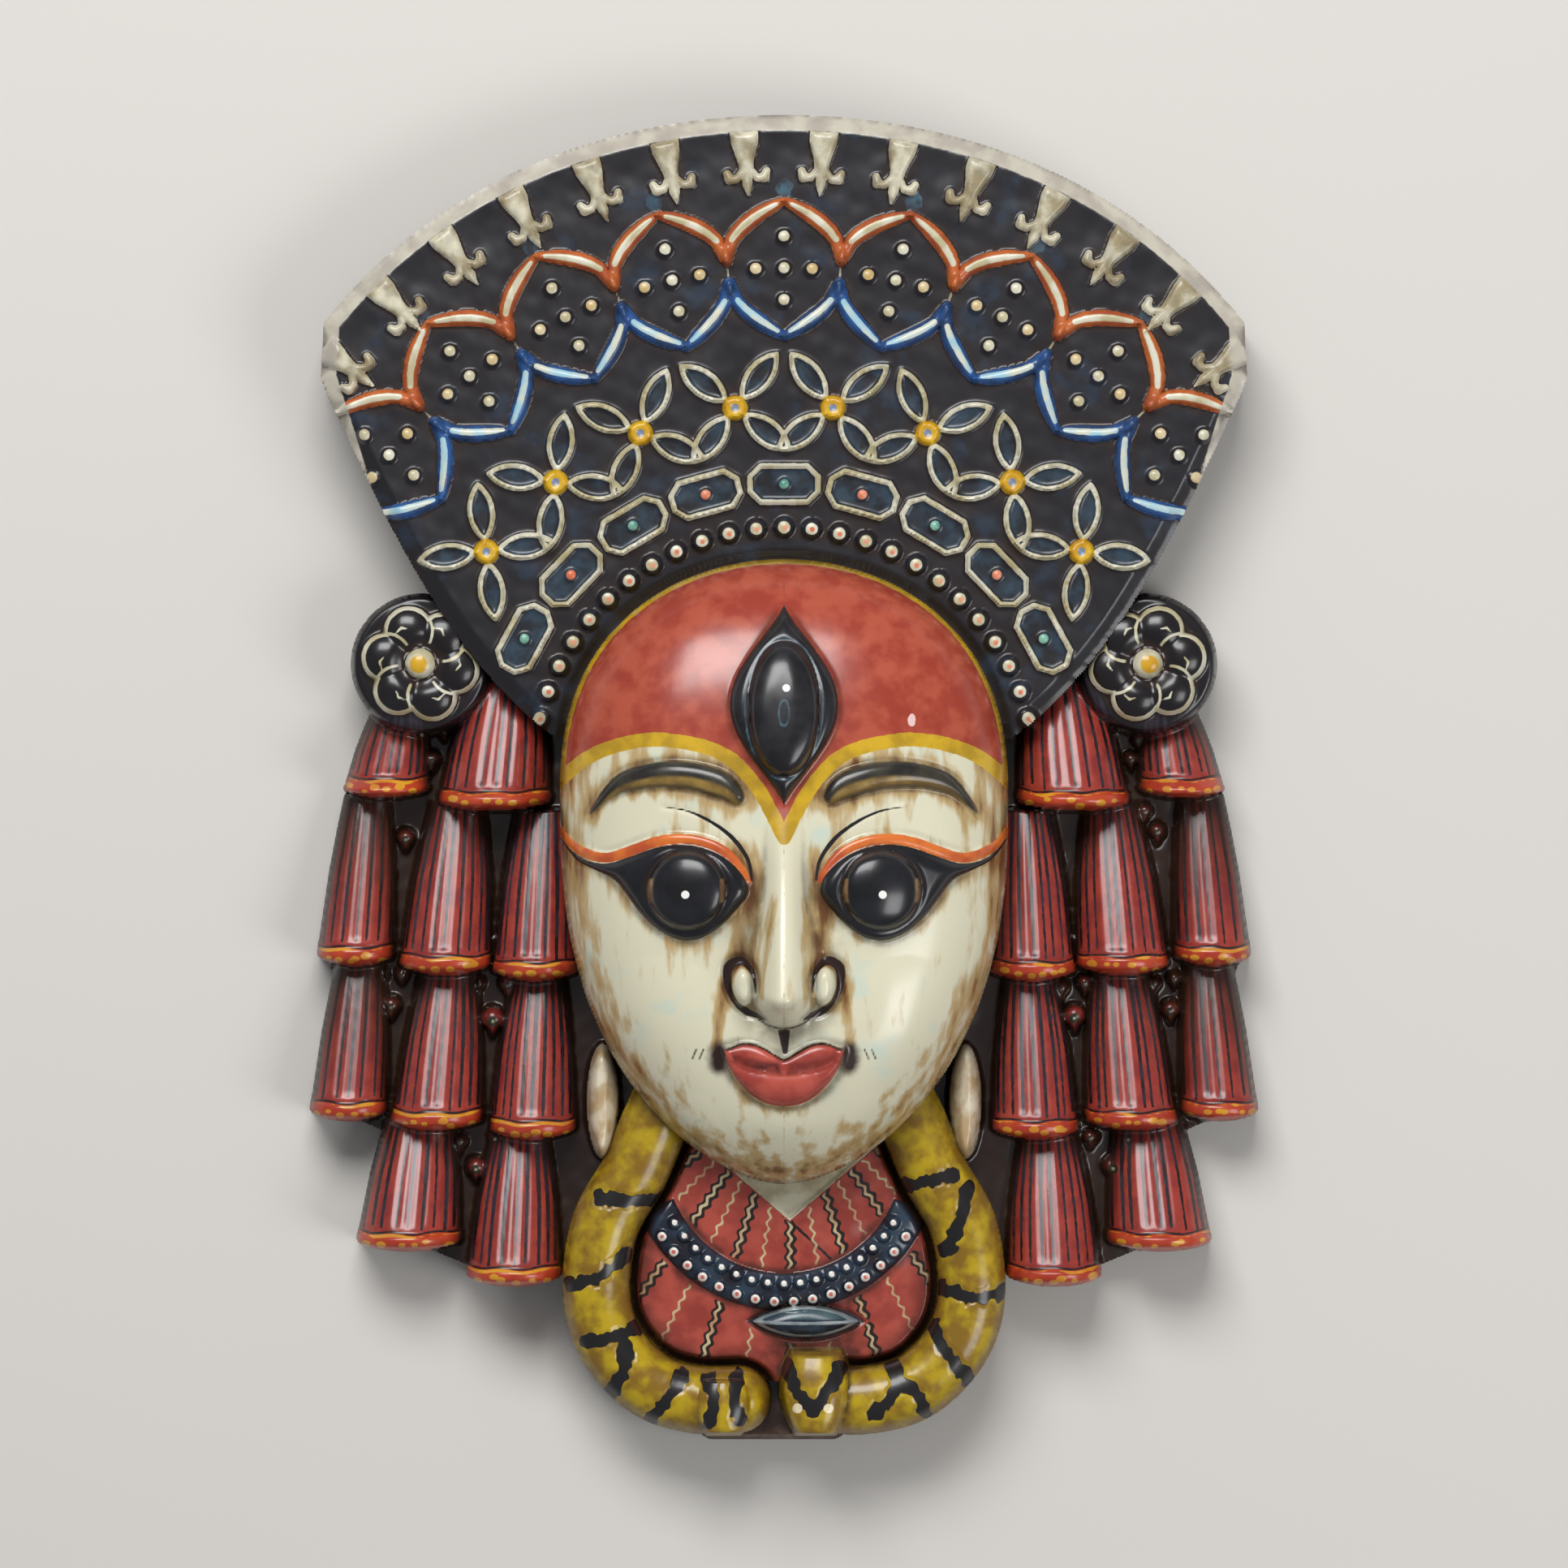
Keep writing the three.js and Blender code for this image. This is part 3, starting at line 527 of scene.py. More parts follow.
# %% The fan and its rows
CROWN_SURFACE, RIM_RADIUS, RIM_FULLNESS, ARCH_RADIUS = 36, 201, 0.022, 80
RIM_ANGLE, FOOT_ANGLE, RIM_BEVEL, RIM_BAND = 54.5, 80, 4, 5.6
BEADS = {"radius": 87, "count": 25, "end": 76}
JEWELS = {"radius": 102, "count": 9, "end": 61.6}
STARS = {"radius": 129.5, "count": 8, "end": 52.6}
LOZENGES = {"radius": 176.5, "count": 9, "end": 50.7}
DROPS = {"radius": 196, "count": 14, "end": 52.6}
LOZENGE_HALF, LOZENGE_BULGE, RIDGE_HALF, RIDGE_RISE, RIDGE_CLEARANCE = 23.5, 0.5, 2.6, 2.6, 4
RIDGE_POINTS = 9
LOZENGE_DOT, LOZENGE_DOT_PAINT, DOT_SPACING = 2.8, 1.9, 11
PETAL_LENGTH, PETAL_WIDTH, HUB_RADIUS = 21.5, 9.5, 4.5
JEWEL_HALF_LENGTH, JEWEL_HALF_WIDTH, JEWEL_DOT = 12.7, 7.2, 2.2
BEAD_RADIUS, BEAD_RISE = 3.7, 3


def crown_share(radius):
    return max(0, (radius - ARCH_RADIUS) / (RIM_RADIUS - ARCH_RADIUS))


def crown_point(radius, angle):
    share = crown_share(radius)
    full = radius * (1 + RIM_FULLNESS * share * math.sin(2 * angle) ** 2)
    middle = (HALF_HEIGHT - RIM_RADIUS) * share**1.4
    return full * math.sin(angle), middle + full * math.cos(angle)


def crown_reach(radius):
    share = 1 - crown_share(radius)
    corner = 3.5 * float(smooth(radius, RIM_RADIUS - 13, RIM_RADIUS)) ** 2
    return math.radians(RIM_ANGLE + (FOOT_ANGLE - RIM_ANGLE) * share**1.35 - corner)


def crown_outline():
    reach = crown_reach(RIM_RADIUS)
    rim = [crown_point(RIM_RADIUS, a) for a in np.linspace(-reach, reach, 70)]
    side = [crown_point(r, crown_reach(r)) for r in np.linspace(RIM_RADIUS, ARCH_RADIUS, 30)[1:]]
    return rim + side + [(-a, b) for a, b in side[::-1]]


def row(radius, count, end):
    for i in range(count):
        yield i, spread(i, count, end)


# %% Motifs of the crown
def drop_form(a, b):
    """A lily that hangs from the rim: a vase, a tongue and two curls that turn up."""
    half = np.interp(b, [-13, -10, -7, -3, 1], [2.4, 2.7, 3.5, 4.7, 5])
    vase = np.maximum(np.abs(a) - half, np.maximum(b - 1, -13 - b))
    tongue = stroke(a, b, [(0, -12), (0, -17), (0, -21.5)], [1.8, 1.8, 0.2])
    curl = stroke(np.abs(a), b, [(1, -12), (3.6, -15.4), (6, -15.2), (6.9, -13)], [1.3, 1.3, 1.8, 1.3])
    return np.minimum(np.minimum(vase, tongue), curl)


def ridge_line(middle, half_angle, side, end, inset=0):
    """One curved side of a lozenge, from its side corner to its tip."""
    points = []
    for t in np.linspace(0, 1, RIDGE_POINTS):
        out = RIDGE_CLEARANCE - inset + (LOZENGE_HALF - RIDGE_CLEARANCE) * t**LOZENGE_BULGE
        points.append(around(LOZENGES["radius"] + end * out, middle + side * half_angle * (1 - t)))
    return points


def add_ridge(x, y, h, paint, middle, half_angle, side, end):
    """A raised side of a lozenge, with a pale streak along its top."""
    colour, streak, inset = ("orange", "cream", 0) if end > 0 else ("blue", "pale", 0.7)
    shares = np.linspace(0, 1, RIDGE_POINTS)
    widths = np.array([RIDGE_HALF * math.sin(math.pi * (0.24 + 0.62 * t)) for t in shares])
    line = ridge_line(middle, half_angle, side, end)
    cx, cy = line[RIDGE_POINTS // 2]
    near = (np.abs(x - cx) < LOZENGE_HALF + 2.5) & (np.abs(y - cy) < LOZENGE_HALF + 2.5)
    ridge = stroke(x[near], y[near], line, widths)
    h[near] += dome(ridge, RIDGE_HALF * 0.9, RIDGE_RISE)
    paint[colour][near] = np.minimum(paint[colour][near], ridge - 0.3)
    core = ridge_line(middle, half_angle, side, end, inset)[1:-1]
    core = stroke(x[near], y[near], core, widths[1:-1] * 0.46)
    paint[streak][near] = np.minimum(paint[streak][near], core)


def add_notch(x, y, paint, turn, depth):
    """Paint where two lozenges meet: an orange stroke, a cream line and a blue wedge."""
    place = around(LOZENGES["radius"], turn)
    put(paint["orange"], x, y, *place, 9, lambda a, b: stroke(a, b, [(0, 7), (0, 2)], [2, 0.6]), turn)
    put(paint["cream"], x, y, *place, 6, lambda a, b: stroke(a, b, [(0, 1.2), (0, -1.5)], 0.35), turn)
    put(paint["blue"], x, y, *place, 13, lambda a, b: np.maximum(np.abs(a) + 0.34 * b, -depth - b), turn)


def add_lozenges(x, y, h, paint):
    half_angle = math.radians(LOZENGES["end"]) / (LOZENGES["count"] - 1)
    for i, middle in row(**LOZENGES):
        for side in (-1, 1):
            for end in (1, -1):
                add_ridge(x, y, h, paint, middle, half_angle, side, end)
        for out, turn in ((0, 0), (DOT_SPACING, 0), (-DOT_SPACING, 0), (0, 1), (0, -1)):
            cx, cy = around(LOZENGES["radius"] + out, middle + turn * half_angle * 0.5)
            dot = blank(x)
            put(dot, x, y, cx, cy, 6, disc(LOZENGE_DOT))
            h += dome(dot, LOZENGE_DOT, 2)
            put(paint["tan" if turn else "cream"], x, y, cx, cy + 0.3, 6, disc(LOZENGE_DOT_PAINT))
        tip = around(LOZENGES["radius"] + LOZENGE_HALF + 4, middle)
        put(paint["patch"], x, y, *tip, 8, lambda a, b: lens(a, b + 3, 7, 6), middle)
        for side in (-1, 1):
            add_notch(x, y, paint, middle + side * half_angle, 11 - 3 * (i % 2))


def add_stars(x, y, h, paint):
    for _, middle in row(**STARS):
        cx, cy = around(STARS["radius"], middle)
        for k in range(4):
            petal = blank(x)
            put(petal, x, y, cx, cy, 26, lambda a, b: lens(a, b - 3, PETAL_LENGTH, PETAL_WIDTH),
                middle + math.radians(45 + 90 * k))
            h += 0.9 * smooth(-petal, 0, 0.8) + 1.3 * fade(petal + 1, 0.9) * (petal < PAINT_REACH)
            np.minimum(paint["cream"], np.abs(petal + 0.85) - 0.85, out=paint["cream"])
            np.minimum(paint["glaze"], petal + 1.6, out=paint["glaze"])
        hub = blank(x)
        put(hub, x, y, cx, cy, 7, disc(HUB_RADIUS))
        h += 2.8 * smooth(-hub, 0, 1.4) - 0.8 * fade(hub + HUB_RADIUS, 1.4) * (hub < 0)
        np.minimum(paint["yellow"], hub, out=paint["yellow"])
        put(paint["dot_blue"], x, y, cx, cy, 6, disc(1.4))


def jewel_form(a, b):
    """An oblong with cut corners."""
    cut = (np.abs(a) + np.abs(b) - 15.6) * 0.75
    return np.maximum(rounded_box(a, b, JEWEL_HALF_LENGTH, JEWEL_HALF_WIDTH, 3), cut)


def add_jewels(x, y, h, paint):
    for i, middle in row(**JEWELS):
        cx, cy = around(JEWELS["radius"], middle)
        box = blank(x)
        put(box, x, y, cx, cy, 17, jewel_form, middle)
        h += 0.8 * smooth(-box, 0, 0.8) + 1.6 * fade(box + 1, 0.95) * (box < PAINT_REACH)
        np.minimum(paint["cream"], np.abs(box + 0.95) - 0.95, out=paint["cream"])
        np.minimum(paint["glaze"], box + 1.8, out=paint["glaze"])
        dot = blank(x)
        put(dot, x, y, cx, cy, 6, disc(JEWEL_DOT))
        h += dome(dot, JEWEL_DOT, 1.7)
        colour = "green" if i % 2 == 0 else "coral"
        np.minimum(paint[colour], dot + 0.5, out=paint[colour])


def add_beads(x, y, h, paint):
    for _, middle in row(**BEADS):
        cx, cy = around(BEADS["radius"], middle)
        bead = blank(x)
        put(bead, x, y, cx, cy, 7, disc(BEAD_RADIUS))
        h += dome(bead, BEAD_RADIUS, BEAD_RISE)
        put(paint["cream"], x, y, cx, cy, 6, disc(2.1))
        put(paint["coral"], x, y, cx + 0.2, cy - 0.2, 6, disc(0.9))


def add_drops(x, y, h, paint):
    spacing = math.radians(DROPS["end"]) / (DROPS["count"] - 1)
    for i, middle in row(**DROPS):
        cx, cy = crown_point(DROPS["radius"], middle)
        form = blank(x)
        put(form, x, y, cx, cy, 24, drop_form, middle)
        h += dome(form, 2.4, 2.4)
        np.minimum(paint["lily"], form, out=paint["lily"])
        if i:
            h -= 0.5 * fade(ball(x, y, *crown_point(DROPS["radius"] - 5, middle - spacing), 0), 7)


# %% Carve and paint the crown
CROWN_BOX, CROWN_STEP = (-168, 168, 6, HALF_HEIGHT + 0.6), 0.715
x, y = grid(*CROWN_BOX, CROWN_STEP)
fan = polygon(x, y, crown_outline())
by_face = face_edge(x, y)
h = CROWN_SURFACE + 0.14 * noise(x, y, 16, 3) + 0.05 * noise(x, y, 5, 4)
CROWN_PAINTS = ("cream", "orange", "blue", "yellow", "pale", "glaze", "patch", "lily", "green", "coral",
                "dot_blue", "tan")
paint = {key: blank(x) for key in CROWN_PAINTS}
for add_row in (add_lozenges, add_stars, add_jewels, add_beads, add_drops):
    add_row(x, y, h, paint)
h -= RIM_BEVEL * np.clip(1 + fan / RIM_BAND, 0, 1)
h -= 1.5 * smooth(-by_face, -4, -0.5)
paint["rim"] = -fan - RIM_BAND * smooth(np.hypot(x, y), 165, 212)
crown = build("crown", x, y, h, np.maximum(fan, -8 - by_face), paint, CROWN_STEP)

# %% [markdown]
# The hair hangs in tassels, four rows down each side, each row lapping over the next. A tassel
# is a bell: half round across, narrow at the neck, with a rolled hem. Painted strokes run down
# it like locks. The two sides share one function, and the second one reads it with X turned
# round, which keeps the two halves alike as on the real mask.

# %% Sizes of the hair
TASSEL_GROUND, TASSEL_FALL, TASSEL_DEPTH, TASSEL_LEAN = 22, 0.11, 1.05, 4.5
# Each tassel: its middle, half its width, the height of its hem, its length
TASSEL_ROWS = [
    [(101, 19.5, -11, 46), (139, 15, -6.5, 31)],
    [(86.5, 15, -70, 60), (118, 16.2, -68, 60), (149.5, 13.5, -65, 60)],
    [(87.5, 15, -125, 58), (121, 16, -122, 58), (151.9, 13.6, -119, 58)],
    [(94, 16.5, -176, 54), (131, 18.2, -164, 50)],
]
# How wide and how high a tassel is, as shares, from its hem (0) to its neck (1)
TASSEL_WIDTHS = ([0, 0.05, 0.12, 0.17, 0.55, 0.8, 1], [0.9, 1, 1, 0.97, 0.86, 0.74, 0.62])
TASSEL_HEIGHTS = ([0, 0.04, 0.09, 0.125, 0.16, 1], [0.62, 0.95, 1, 0.95, 0.9, 0.4])
HEM_WIDTH, HEM_DOTS = 6.6, 6
TEMPLE = (126, 40)
TEMPLE_RADIUS, TEMPLE_SURFACE, TEMPLE_LOBE, PETAL_SHARE = 20.5, 28, 4, 0.43
BOSS_RADIUS = 5.2
EAR, EAR_HALF_WIDTH, EAR_HALF_LENGTH, EAR_RISE, EAR_SURFACE = (63, -112), 5.6, 20, 13, 36
# The cherries between the tassels on either side, each with its radius
CHERRIES = {
    -1: [(125.9, 15.8, 2.4), (118.2, 16.4, 2.4), (122.5, 6.8, 3), (131.8, -20.3, 3.4),
         (140, -68.3, 2.6), (133.2, -68, 2.6), (136.9, -78.7, 3.6), (107.2, -71.1, 3.2),
         (96.2, -71.1, 3.2), (101.3, -83.2, 4.4), (112.9, -126.1, 2.8), (100.5, -124.5, 2.8),
         (107.2, -134.9, 3.8)],
    1: [(123.3, 13.8, 2.4), (121, 7, 2.8), (125.8, -11, 2.8), (130, -18, 3.2), (96.5, -72.5, 3),
        (104.7, -70.8, 3), (101, -82.1, 4.2), (129, -71.1, 2.6), (136, -69.4, 2.6), (134.6, -80.1, 3.6),
        (106.7, -124.5, 3), (119.7, -124.7, 3), (114.6, -134.6, 4)],
}


def hair_ground(x):
    return TASSEL_GROUND - TASSEL_FALL * (x - FACE_WIDTH / 2)


def tassels_in_order():
    """Every tassel, from the lowest row to the highest, so the upper ones lap over."""
    for tassels in reversed(TASSEL_ROWS):
        yield from tassels


def tassel_form(x, y, cx, half, hem, length):
    up = (y - hem) / length
    lean = TASSEL_LEAN * (1 if cx > FACE_WIDTH / 2 + 20 else 0.5)
    wide = half * np.interp(up, *TASSEL_WIDTHS)
    across = (x - cx + lean * up) / wide
    round_off = 1 - np.sqrt(1 - np.clip(across, -1, 1) ** 2)
    sag = round_off * (5 - 3 * np.clip(up, 0, 1) / 0.14).clip(0, 5)
    out = np.maximum((np.abs(across) - 1) * wide, np.maximum(hem + sag - y, y - hem - length))
    return up, across, wide, out, hem + HEM_WIDTH + 1.4 * round_off


# %% One tassel: its height and its paint
def tassel_strokes(up, across, wide, above_hem, count, rng):
    """Dark brush strokes from the hem to the neck, closer together towards the sides."""
    strokes = np.full(up.shape, 9.0)
    for k in range(count):
        turn = -1.18 + 2.36 * (k + 0.5 + rng.uniform(-0.16, 0.16)) / count
        stop = rng.uniform(0.3, 2.2)
        thick = rng.uniform(0.4, 0.7)
        bend = 0.05 * math.sin(turn) * np.sin(math.pi * np.clip(up, 0, 1))
        beside = np.abs(across - math.sin(turn) - bend) * wide
        lock = beside - thick * (0.75 + 0.5 * np.clip(up, 0, 1))
        strokes = np.minimum(strokes, np.maximum(lock, stop - above_hem))
    return strokes


def hem_dots(px, above_hem, cx, half, rng):
    dots = np.full(px.shape, 9.0)
    for k in range(HEM_DOTS):
        dx = (k - 2.5) * 0.29 + rng.uniform(-0.1, 0.1)
        dy = rng.uniform(-5, -2.8)
        size = rng.uniform(0.7, 1.25)
        dots = np.minimum(dots, oval(px, above_hem, cx + dx * half, dy, size * 1.5, size))
    return dots


def add_tassel(x, y, h, paint, seed, cx, half, hem, length):
    near = (np.abs(x - cx) < half + 6) & (np.abs(y - hem - length / 2) < length / 2 + 6)
    px, py = x[near], y[near]
    up, across, wide, out, hem_line = tassel_form(px, py, cx, half, hem, length)
    above_hem = py - hem_line
    rng = np.random.default_rng(seed)
    strokes = tassel_strokes(up, across, wide, above_hem, 9 if half > 14 else 7, rng)
    dots = hem_dots(px, above_hem, cx, half, rng)
    round_section = (1 - np.clip(np.abs(across), 0, 1) ** 2.2) ** 0.55
    lift = half * TASSEL_DEPTH * np.interp(up, *TASSEL_HEIGHTS) * round_section
    lift += hair_ground(cx) - 6 * up
    lift -= 0.45 * fade(strokes, 0.9) * smooth(above_hem, 0, 4) + 0.9 * fade(above_hem, 0.8)
    wave = 0.4 * np.sin(px * 0.42 + seed)
    first, last = sorted(rng.uniform(-1, 1, 2))
    broad = 0.4 * smooth(across, first, first + 0.2) * smooth(across, last + 0.2, last)
    thread = np.abs(above_hem + 0.9 + broad / 2 + wave) - 0.15 - broad
    top = (out < 0) & (lift > h[near])
    # The red stops short of each tassel's outline and narrows towards the neck: the dark ground left at
    # its sides and neck is painted shade under the hem above.
    fields = {
        "lock": out + 0.8 + 2.5 * smooth(up, 0.4, 1) * across**2,
        "strokes": strokes,
        "hem": above_hem,
        "hem_line": np.abs(above_hem + wave) - 0.4,
        "ochre": np.minimum(dots, thread),
        "form": out,
    }
    for key, field in fields.items():
        paint[key][near] = np.where(top, field, paint[key][near])
    h[near] = np.where(top, lift, h[near])


# %% Temple flower, cherries and ear drop
def add_flower(x, y, h, paint):
    fx, fy = TEMPLE
    lobe = ball(x, y, fx, fy, TEMPLE_RADIUS + TEMPLE_LOBE)
    h[:] = np.maximum(h, np.where(lobe < 0, TEMPLE_SURFACE - 2.5 * smooth(lobe, -2.5, 0), 0))
    for key in ("lock", "hem", "cherry"):
        paint[key][lobe < 0] = PAINT_REACH
    petals, outline = [], blank(x)
    petal_radius = TEMPLE_RADIUS * PETAL_SHARE
    for k in range(6):
        turn = math.radians(20 + 60 * k)
        dx, dy = around(TEMPLE_RADIUS * 0.58, turn)
        petals.append(ball(x, y, fx + dx, fy + dy, petal_radius))
        dx, dy = around(TEMPLE_RADIUS * 0.6, turn + 0.2)
        px, py = turned(x, y, fx + dx, fy + dy, turn)
        curl = stroke(px, py, [(-2.6, 0.6), (-0.6, 1.8), (1.6, 0.8)], [0.2, 0.45, 0.2])
        np.minimum(outline, curl, out=outline)
    union = np.min(petals, axis=0)
    for before, petal in zip(petals[-1:] + petals, petals):
        seam = np.maximum(np.abs(petal + 0.5) - 0.5, before + 0.4)
        seam = np.maximum(seam, -ball(x, y, fx, fy, 7.5))
        np.minimum(outline, seam, out=outline)
    np.minimum(outline, np.abs(union + 0.8) - 0.75, out=outline)
    relief = np.max([dome(p, petal_radius, 5.6) for p in petals], axis=0)
    relief -= 1.1 * fade(ball(x, y, fx, fy, 7), 2.4)
    boss = ball(x, y, fx, fy, BOSS_RADIUS)
    relief = np.maximum(relief, 3 + dome(boss, BOSS_RADIUS, 4) - 3 * (boss > 0))
    h += np.where(union < 0, relief, np.where(boss < 0, relief, 0))
    np.minimum(paint["cream"], outline, out=paint["cream"])
    np.minimum(paint["cream"], boss, out=paint["cream"])
    np.minimum(paint["yolk"], ball(x, y, fx + 0.5, fy - 0.3, 3.1), out=paint["yolk"])


def add_cherries(x, y, h, paint, side):
    for cx, cy, r in CHERRIES[side]:
        form = blank(x)
        put(form, x, y, cx, cy, 9, lambda a, b: np.minimum(
            np.hypot(a, b) - r, stroke(a, b, [(0, -r * 0.5), (0, -r * 1.7)], [r * 0.7, 0.2])))
        free = (form < 0) & (paint["form"] > -0.8)
        h[:] = np.where(free, np.maximum(h, hair_ground(cx) - 5 + dome(form, r, r * 1.25)), h)
        np.minimum(paint["cherry"], np.where(free, form + 0.4, PAINT_REACH), out=paint["cherry"])
        put(paint["cherry_eye"], x, y, cx, cy - r * 0.25, 5, disc(r * 0.42))
        put(paint["cream"], x, y, cx, cy - r * 0.25, 5, disc(0.62))


def hair_outline(x, y):
    """The wing of ground behind the tassels, joined with every tassel and the flower."""
    wing = [(40, FACE_TOP - 20), (TEMPLE[0] - 6, TEMPLE[1] + TEMPLE_RADIUS),
            (TEMPLE[0] + TEMPLE_RADIUS, TEMPLE[1])]
    for cx, half, hem, length in [tassels[-1] for tassels in TASSEL_ROWS]:
        wing += [(cx - TASSEL_LEAN + half * 0.6, hem + length * 0.8), (cx + half * 0.9, hem + 7)]
    (inner_x, inner_half, inner_hem, _), (outer_x, _, outer_hem, _) = TASSEL_ROWS[-1]
    wing += [(outer_x, outer_hem + 3), (inner_x + 10, inner_hem + 4),
             (inner_x - inner_half * 0.9, inner_hem + 5), (40, inner_hem + 16)]
    out = np.minimum(polygon(x, y, wing), ball(x, y, *TEMPLE, TEMPLE_RADIUS + TEMPLE_LOBE))
    for cx, half, hem, length in tassels_in_order():
        out = np.minimum(out, tassel_form(x, y, cx, half, hem, length)[3])
    return out


# %% The serpent's path, which the hair stops at
SERPENT_SPREAD, SERPENT_TOP, SERPENT_RADIUS, SERPENT_SURFACE = 65, -118, 11.8, 38
FOOT_LIP = 3
SERPENT_FOOT = -HALF_HEIGHT + FOOT_LIP + SERPENT_RADIUS
# The path on the right: shares of the spread, and of the way from the top to the foot
SERPENT_SHARES = [(0.56, -0.16), (0.68, 0), (0.8, 0.19), (0.95, 0.37), (1, 0.57), (0.97, 0.73),
                  (0.86, 0.86), (0.68, 0.96), (0.45, 1), (0.25, 1)]
SERPENT_LINE = curve([(a * SERPENT_SPREAD, SERPENT_TOP + b * (SERPENT_FOOT - SERPENT_TOP))
                      for a, b in SERPENT_SHARES], 5)


# %% Carve and paint both sides of the hair
HAIR_BOX, HAIR_STEP = (38, HALF_WIDTH + 1.2, -178, 66), 0.56
HAIR_PAINTS = ("lock", "strokes", "hem", "hem_line", "ochre", "form", "cherry", "cherry_eye", "cream",
               "yolk")
UNDER_FACE, UNDER_CROWN, UNDER_SERPENT = 6, 3, 4


def hair(name, side):
    """One side of the hair, made on the right and turned over for the left."""
    x, y = grid(*HAIR_BOX, HAIR_STEP)
    h = hair_ground(x) - 7 + 0.2 * noise(x, y, 9, 20 + side)
    paint = {key: blank(x) for key in HAIR_PAINTS}
    for seed, tassel in enumerate(tassels_in_order()):
        add_tassel(x, y, h, paint, 40 + seed * 3 + side, *tassel)
    add_cherries(x, y, h, paint, side)
    add_flower(x, y, h, paint)
    ear = oval(x, y, *EAR, EAR_HALF_WIDTH, EAR_HALF_LENGTH)
    paint["ear"] = ear
    drop = EAR_SURFACE - EAR_RISE + dome(ear, EAR_HALF_WIDTH - 0.1, EAR_RISE)
    h = worn(np.where(ear < 0, np.maximum(h, drop), h))
    inner = np.maximum(-UNDER_FACE - face_edge(x, y), -UNDER_CROWN - polygon(x, y, crown_outline()))
    inner = np.maximum(inner, SERPENT_RADIUS - UNDER_SERPENT - stroke(x, y, SERPENT_LINE, 0))
    outline = np.maximum(hair_outline(x, y), inner)
    # Less of the hollows' brown, wax and painted shade alike, on the tassels and the ear drops
    wax_and_shade = 1 - 0.85 * smooth(-np.minimum(paint.pop("form"), ear), -0.5, 1.5)
    fields = dict(paint, x=side * x, h=h, outline=outline, wax_and_shade=wax_and_shade)
    if side < 0:
        fields = {key: field[:, ::-1] for key, field in fields.items()}
    x, h, outline, wax_and_shade = [fields.pop(key) for key in ("x", "h", "outline", "wax_and_shade")]
    return build(name, x, y, h, outline, fields, HAIR_STEP, wax_and_shade=wax_and_shade)


hair_right = hair("hair_right", 1)
hair_left = hair("hair_left", -1)

# %% [markdown]
# Under the chin lies a collar of painted cloth with a beaded necklace, inside the loop of a
# yellow serpent whose head and tail meet at the foot. The body is round in section all along
# its path, so its height only needs the distance to that path. Its black bands are short brush
# strokes across it, and the head and the tail are two rounded forms laid over its ends.

# %% The serpent
HEAD = {"x": 11, "width": 26, "length": 31, "rise": 14}
TAIL = {"x": -21, "width": 22, "length": 22, "rise": 10}
SNAKE_EYE = (5.4, -217, 1.7)
LIP_X, LIP_WIDTH, LIP_SURFACE = -4, 52, 16


def end_form(x, y, size):
    """The rounded head or tail that lies over the body at the foot of the mask."""
    foot = -HALF_HEIGHT + FOOT_LIP - 1
    down = 1 - (y - foot) / size["length"]
    half = size["width"] / 2 * np.sin(math.pi * np.clip(0.2 + 0.66 * down, 0, 1)) ** 0.7
    out = np.maximum(np.abs(x - size["x"]) - half, np.maximum(foot - y, y - foot - size["length"]))
    high = size["rise"] * np.sin(math.pi * np.clip(0.15 + 0.6 * down, 0.02, 0.98)) ** 0.5
    side = np.clip(np.abs(x - size["x"]) / np.maximum(half, 0.5), 0, 1)
    edge = smooth(-out, 0, 2.5)
    level = SERPENT_SURFACE - SERPENT_RADIUS / 2
    return out, level + high * (1 - side**2.4) ** 0.5 * edge - 4 * (1 - edge)


# The black bands, in the order of the loop and then of the tail and the head
BAND_LINES = [
    [(-63.5, -144.8), (-51.5, -146), (-41, -145)],
    [(-73, -174.8), (-63, -171.6), (-54.5, -164.5)],
    [(-68, -194.4), (-59.5, -193.2), (-49.5, -189)],
    [(-54.5, -196), (-55.5, -205), (-59.5, -211.5)],
    [(-35.5, -206.5), (-39.8, -214), (-46, -221)],
    [(40.5, -141.4), (49, -139.2), (58.5, -137)],
    [(63.5, -142), (60, -154.7), (56.5, -163)],
    [(54, -176), (66.8, -179.4), (77, -177)],
    [(51, -189), (57, -199), (64, -208)],
    [(37.5, -203.5), (39.5, -210), (31.5, -219.5)],
    [(40, -209), (46.5, -212.5), (48.5, -218.5)],
    [(-26, -208), (-24.6, -215), (-26, -222)],
    [(-16.4, -207), (-16.8, -214), (-15.4, -221)],
    [(0.6, -203), (4.5, -211), (9.8, -217.5)],
    [(19.4, -203.5), (15.2, -211), (10.2, -217.5)],
]
BAND_HALVES = [2.9, 1.9, 2.7]


def serpent_bands(x, y):
    """Black strokes across the body, each with an uneven edge."""
    uneven = 0.7 * noise(x, y, 6, 60) + 0.45 * noise(x, y, 3, 61)
    bands = [swollen_stroke(x, y, curve(line, 4), *BAND_HALVES) for line in BAND_LINES]
    return np.min(bands, axis=0) - uneven


# %% Cloth, necklace and pendant
CLOTH_SURFACE, CLOTH_RISE = 26, 5
THROAT_Y, NECKLACE_RADIUS, NECKLACE_WIDTH, NECKLACE_RISE, NECKLACE_END = -130, 47.8, 13, 4, 68
PENDANT = (7.5, -188)
PENDANT_LENGTH, PENDANT_WIDTH, PENDANT_RISE = 37.5, 11.5, 6
NECK_TIP, NECK_SLOPE, NECK_TO_DISTANCE = (2, -153), 0.86, 0.76
STRIPE_CENTRE, STRIPE_STEP = THROAT_Y + 24, 0.155
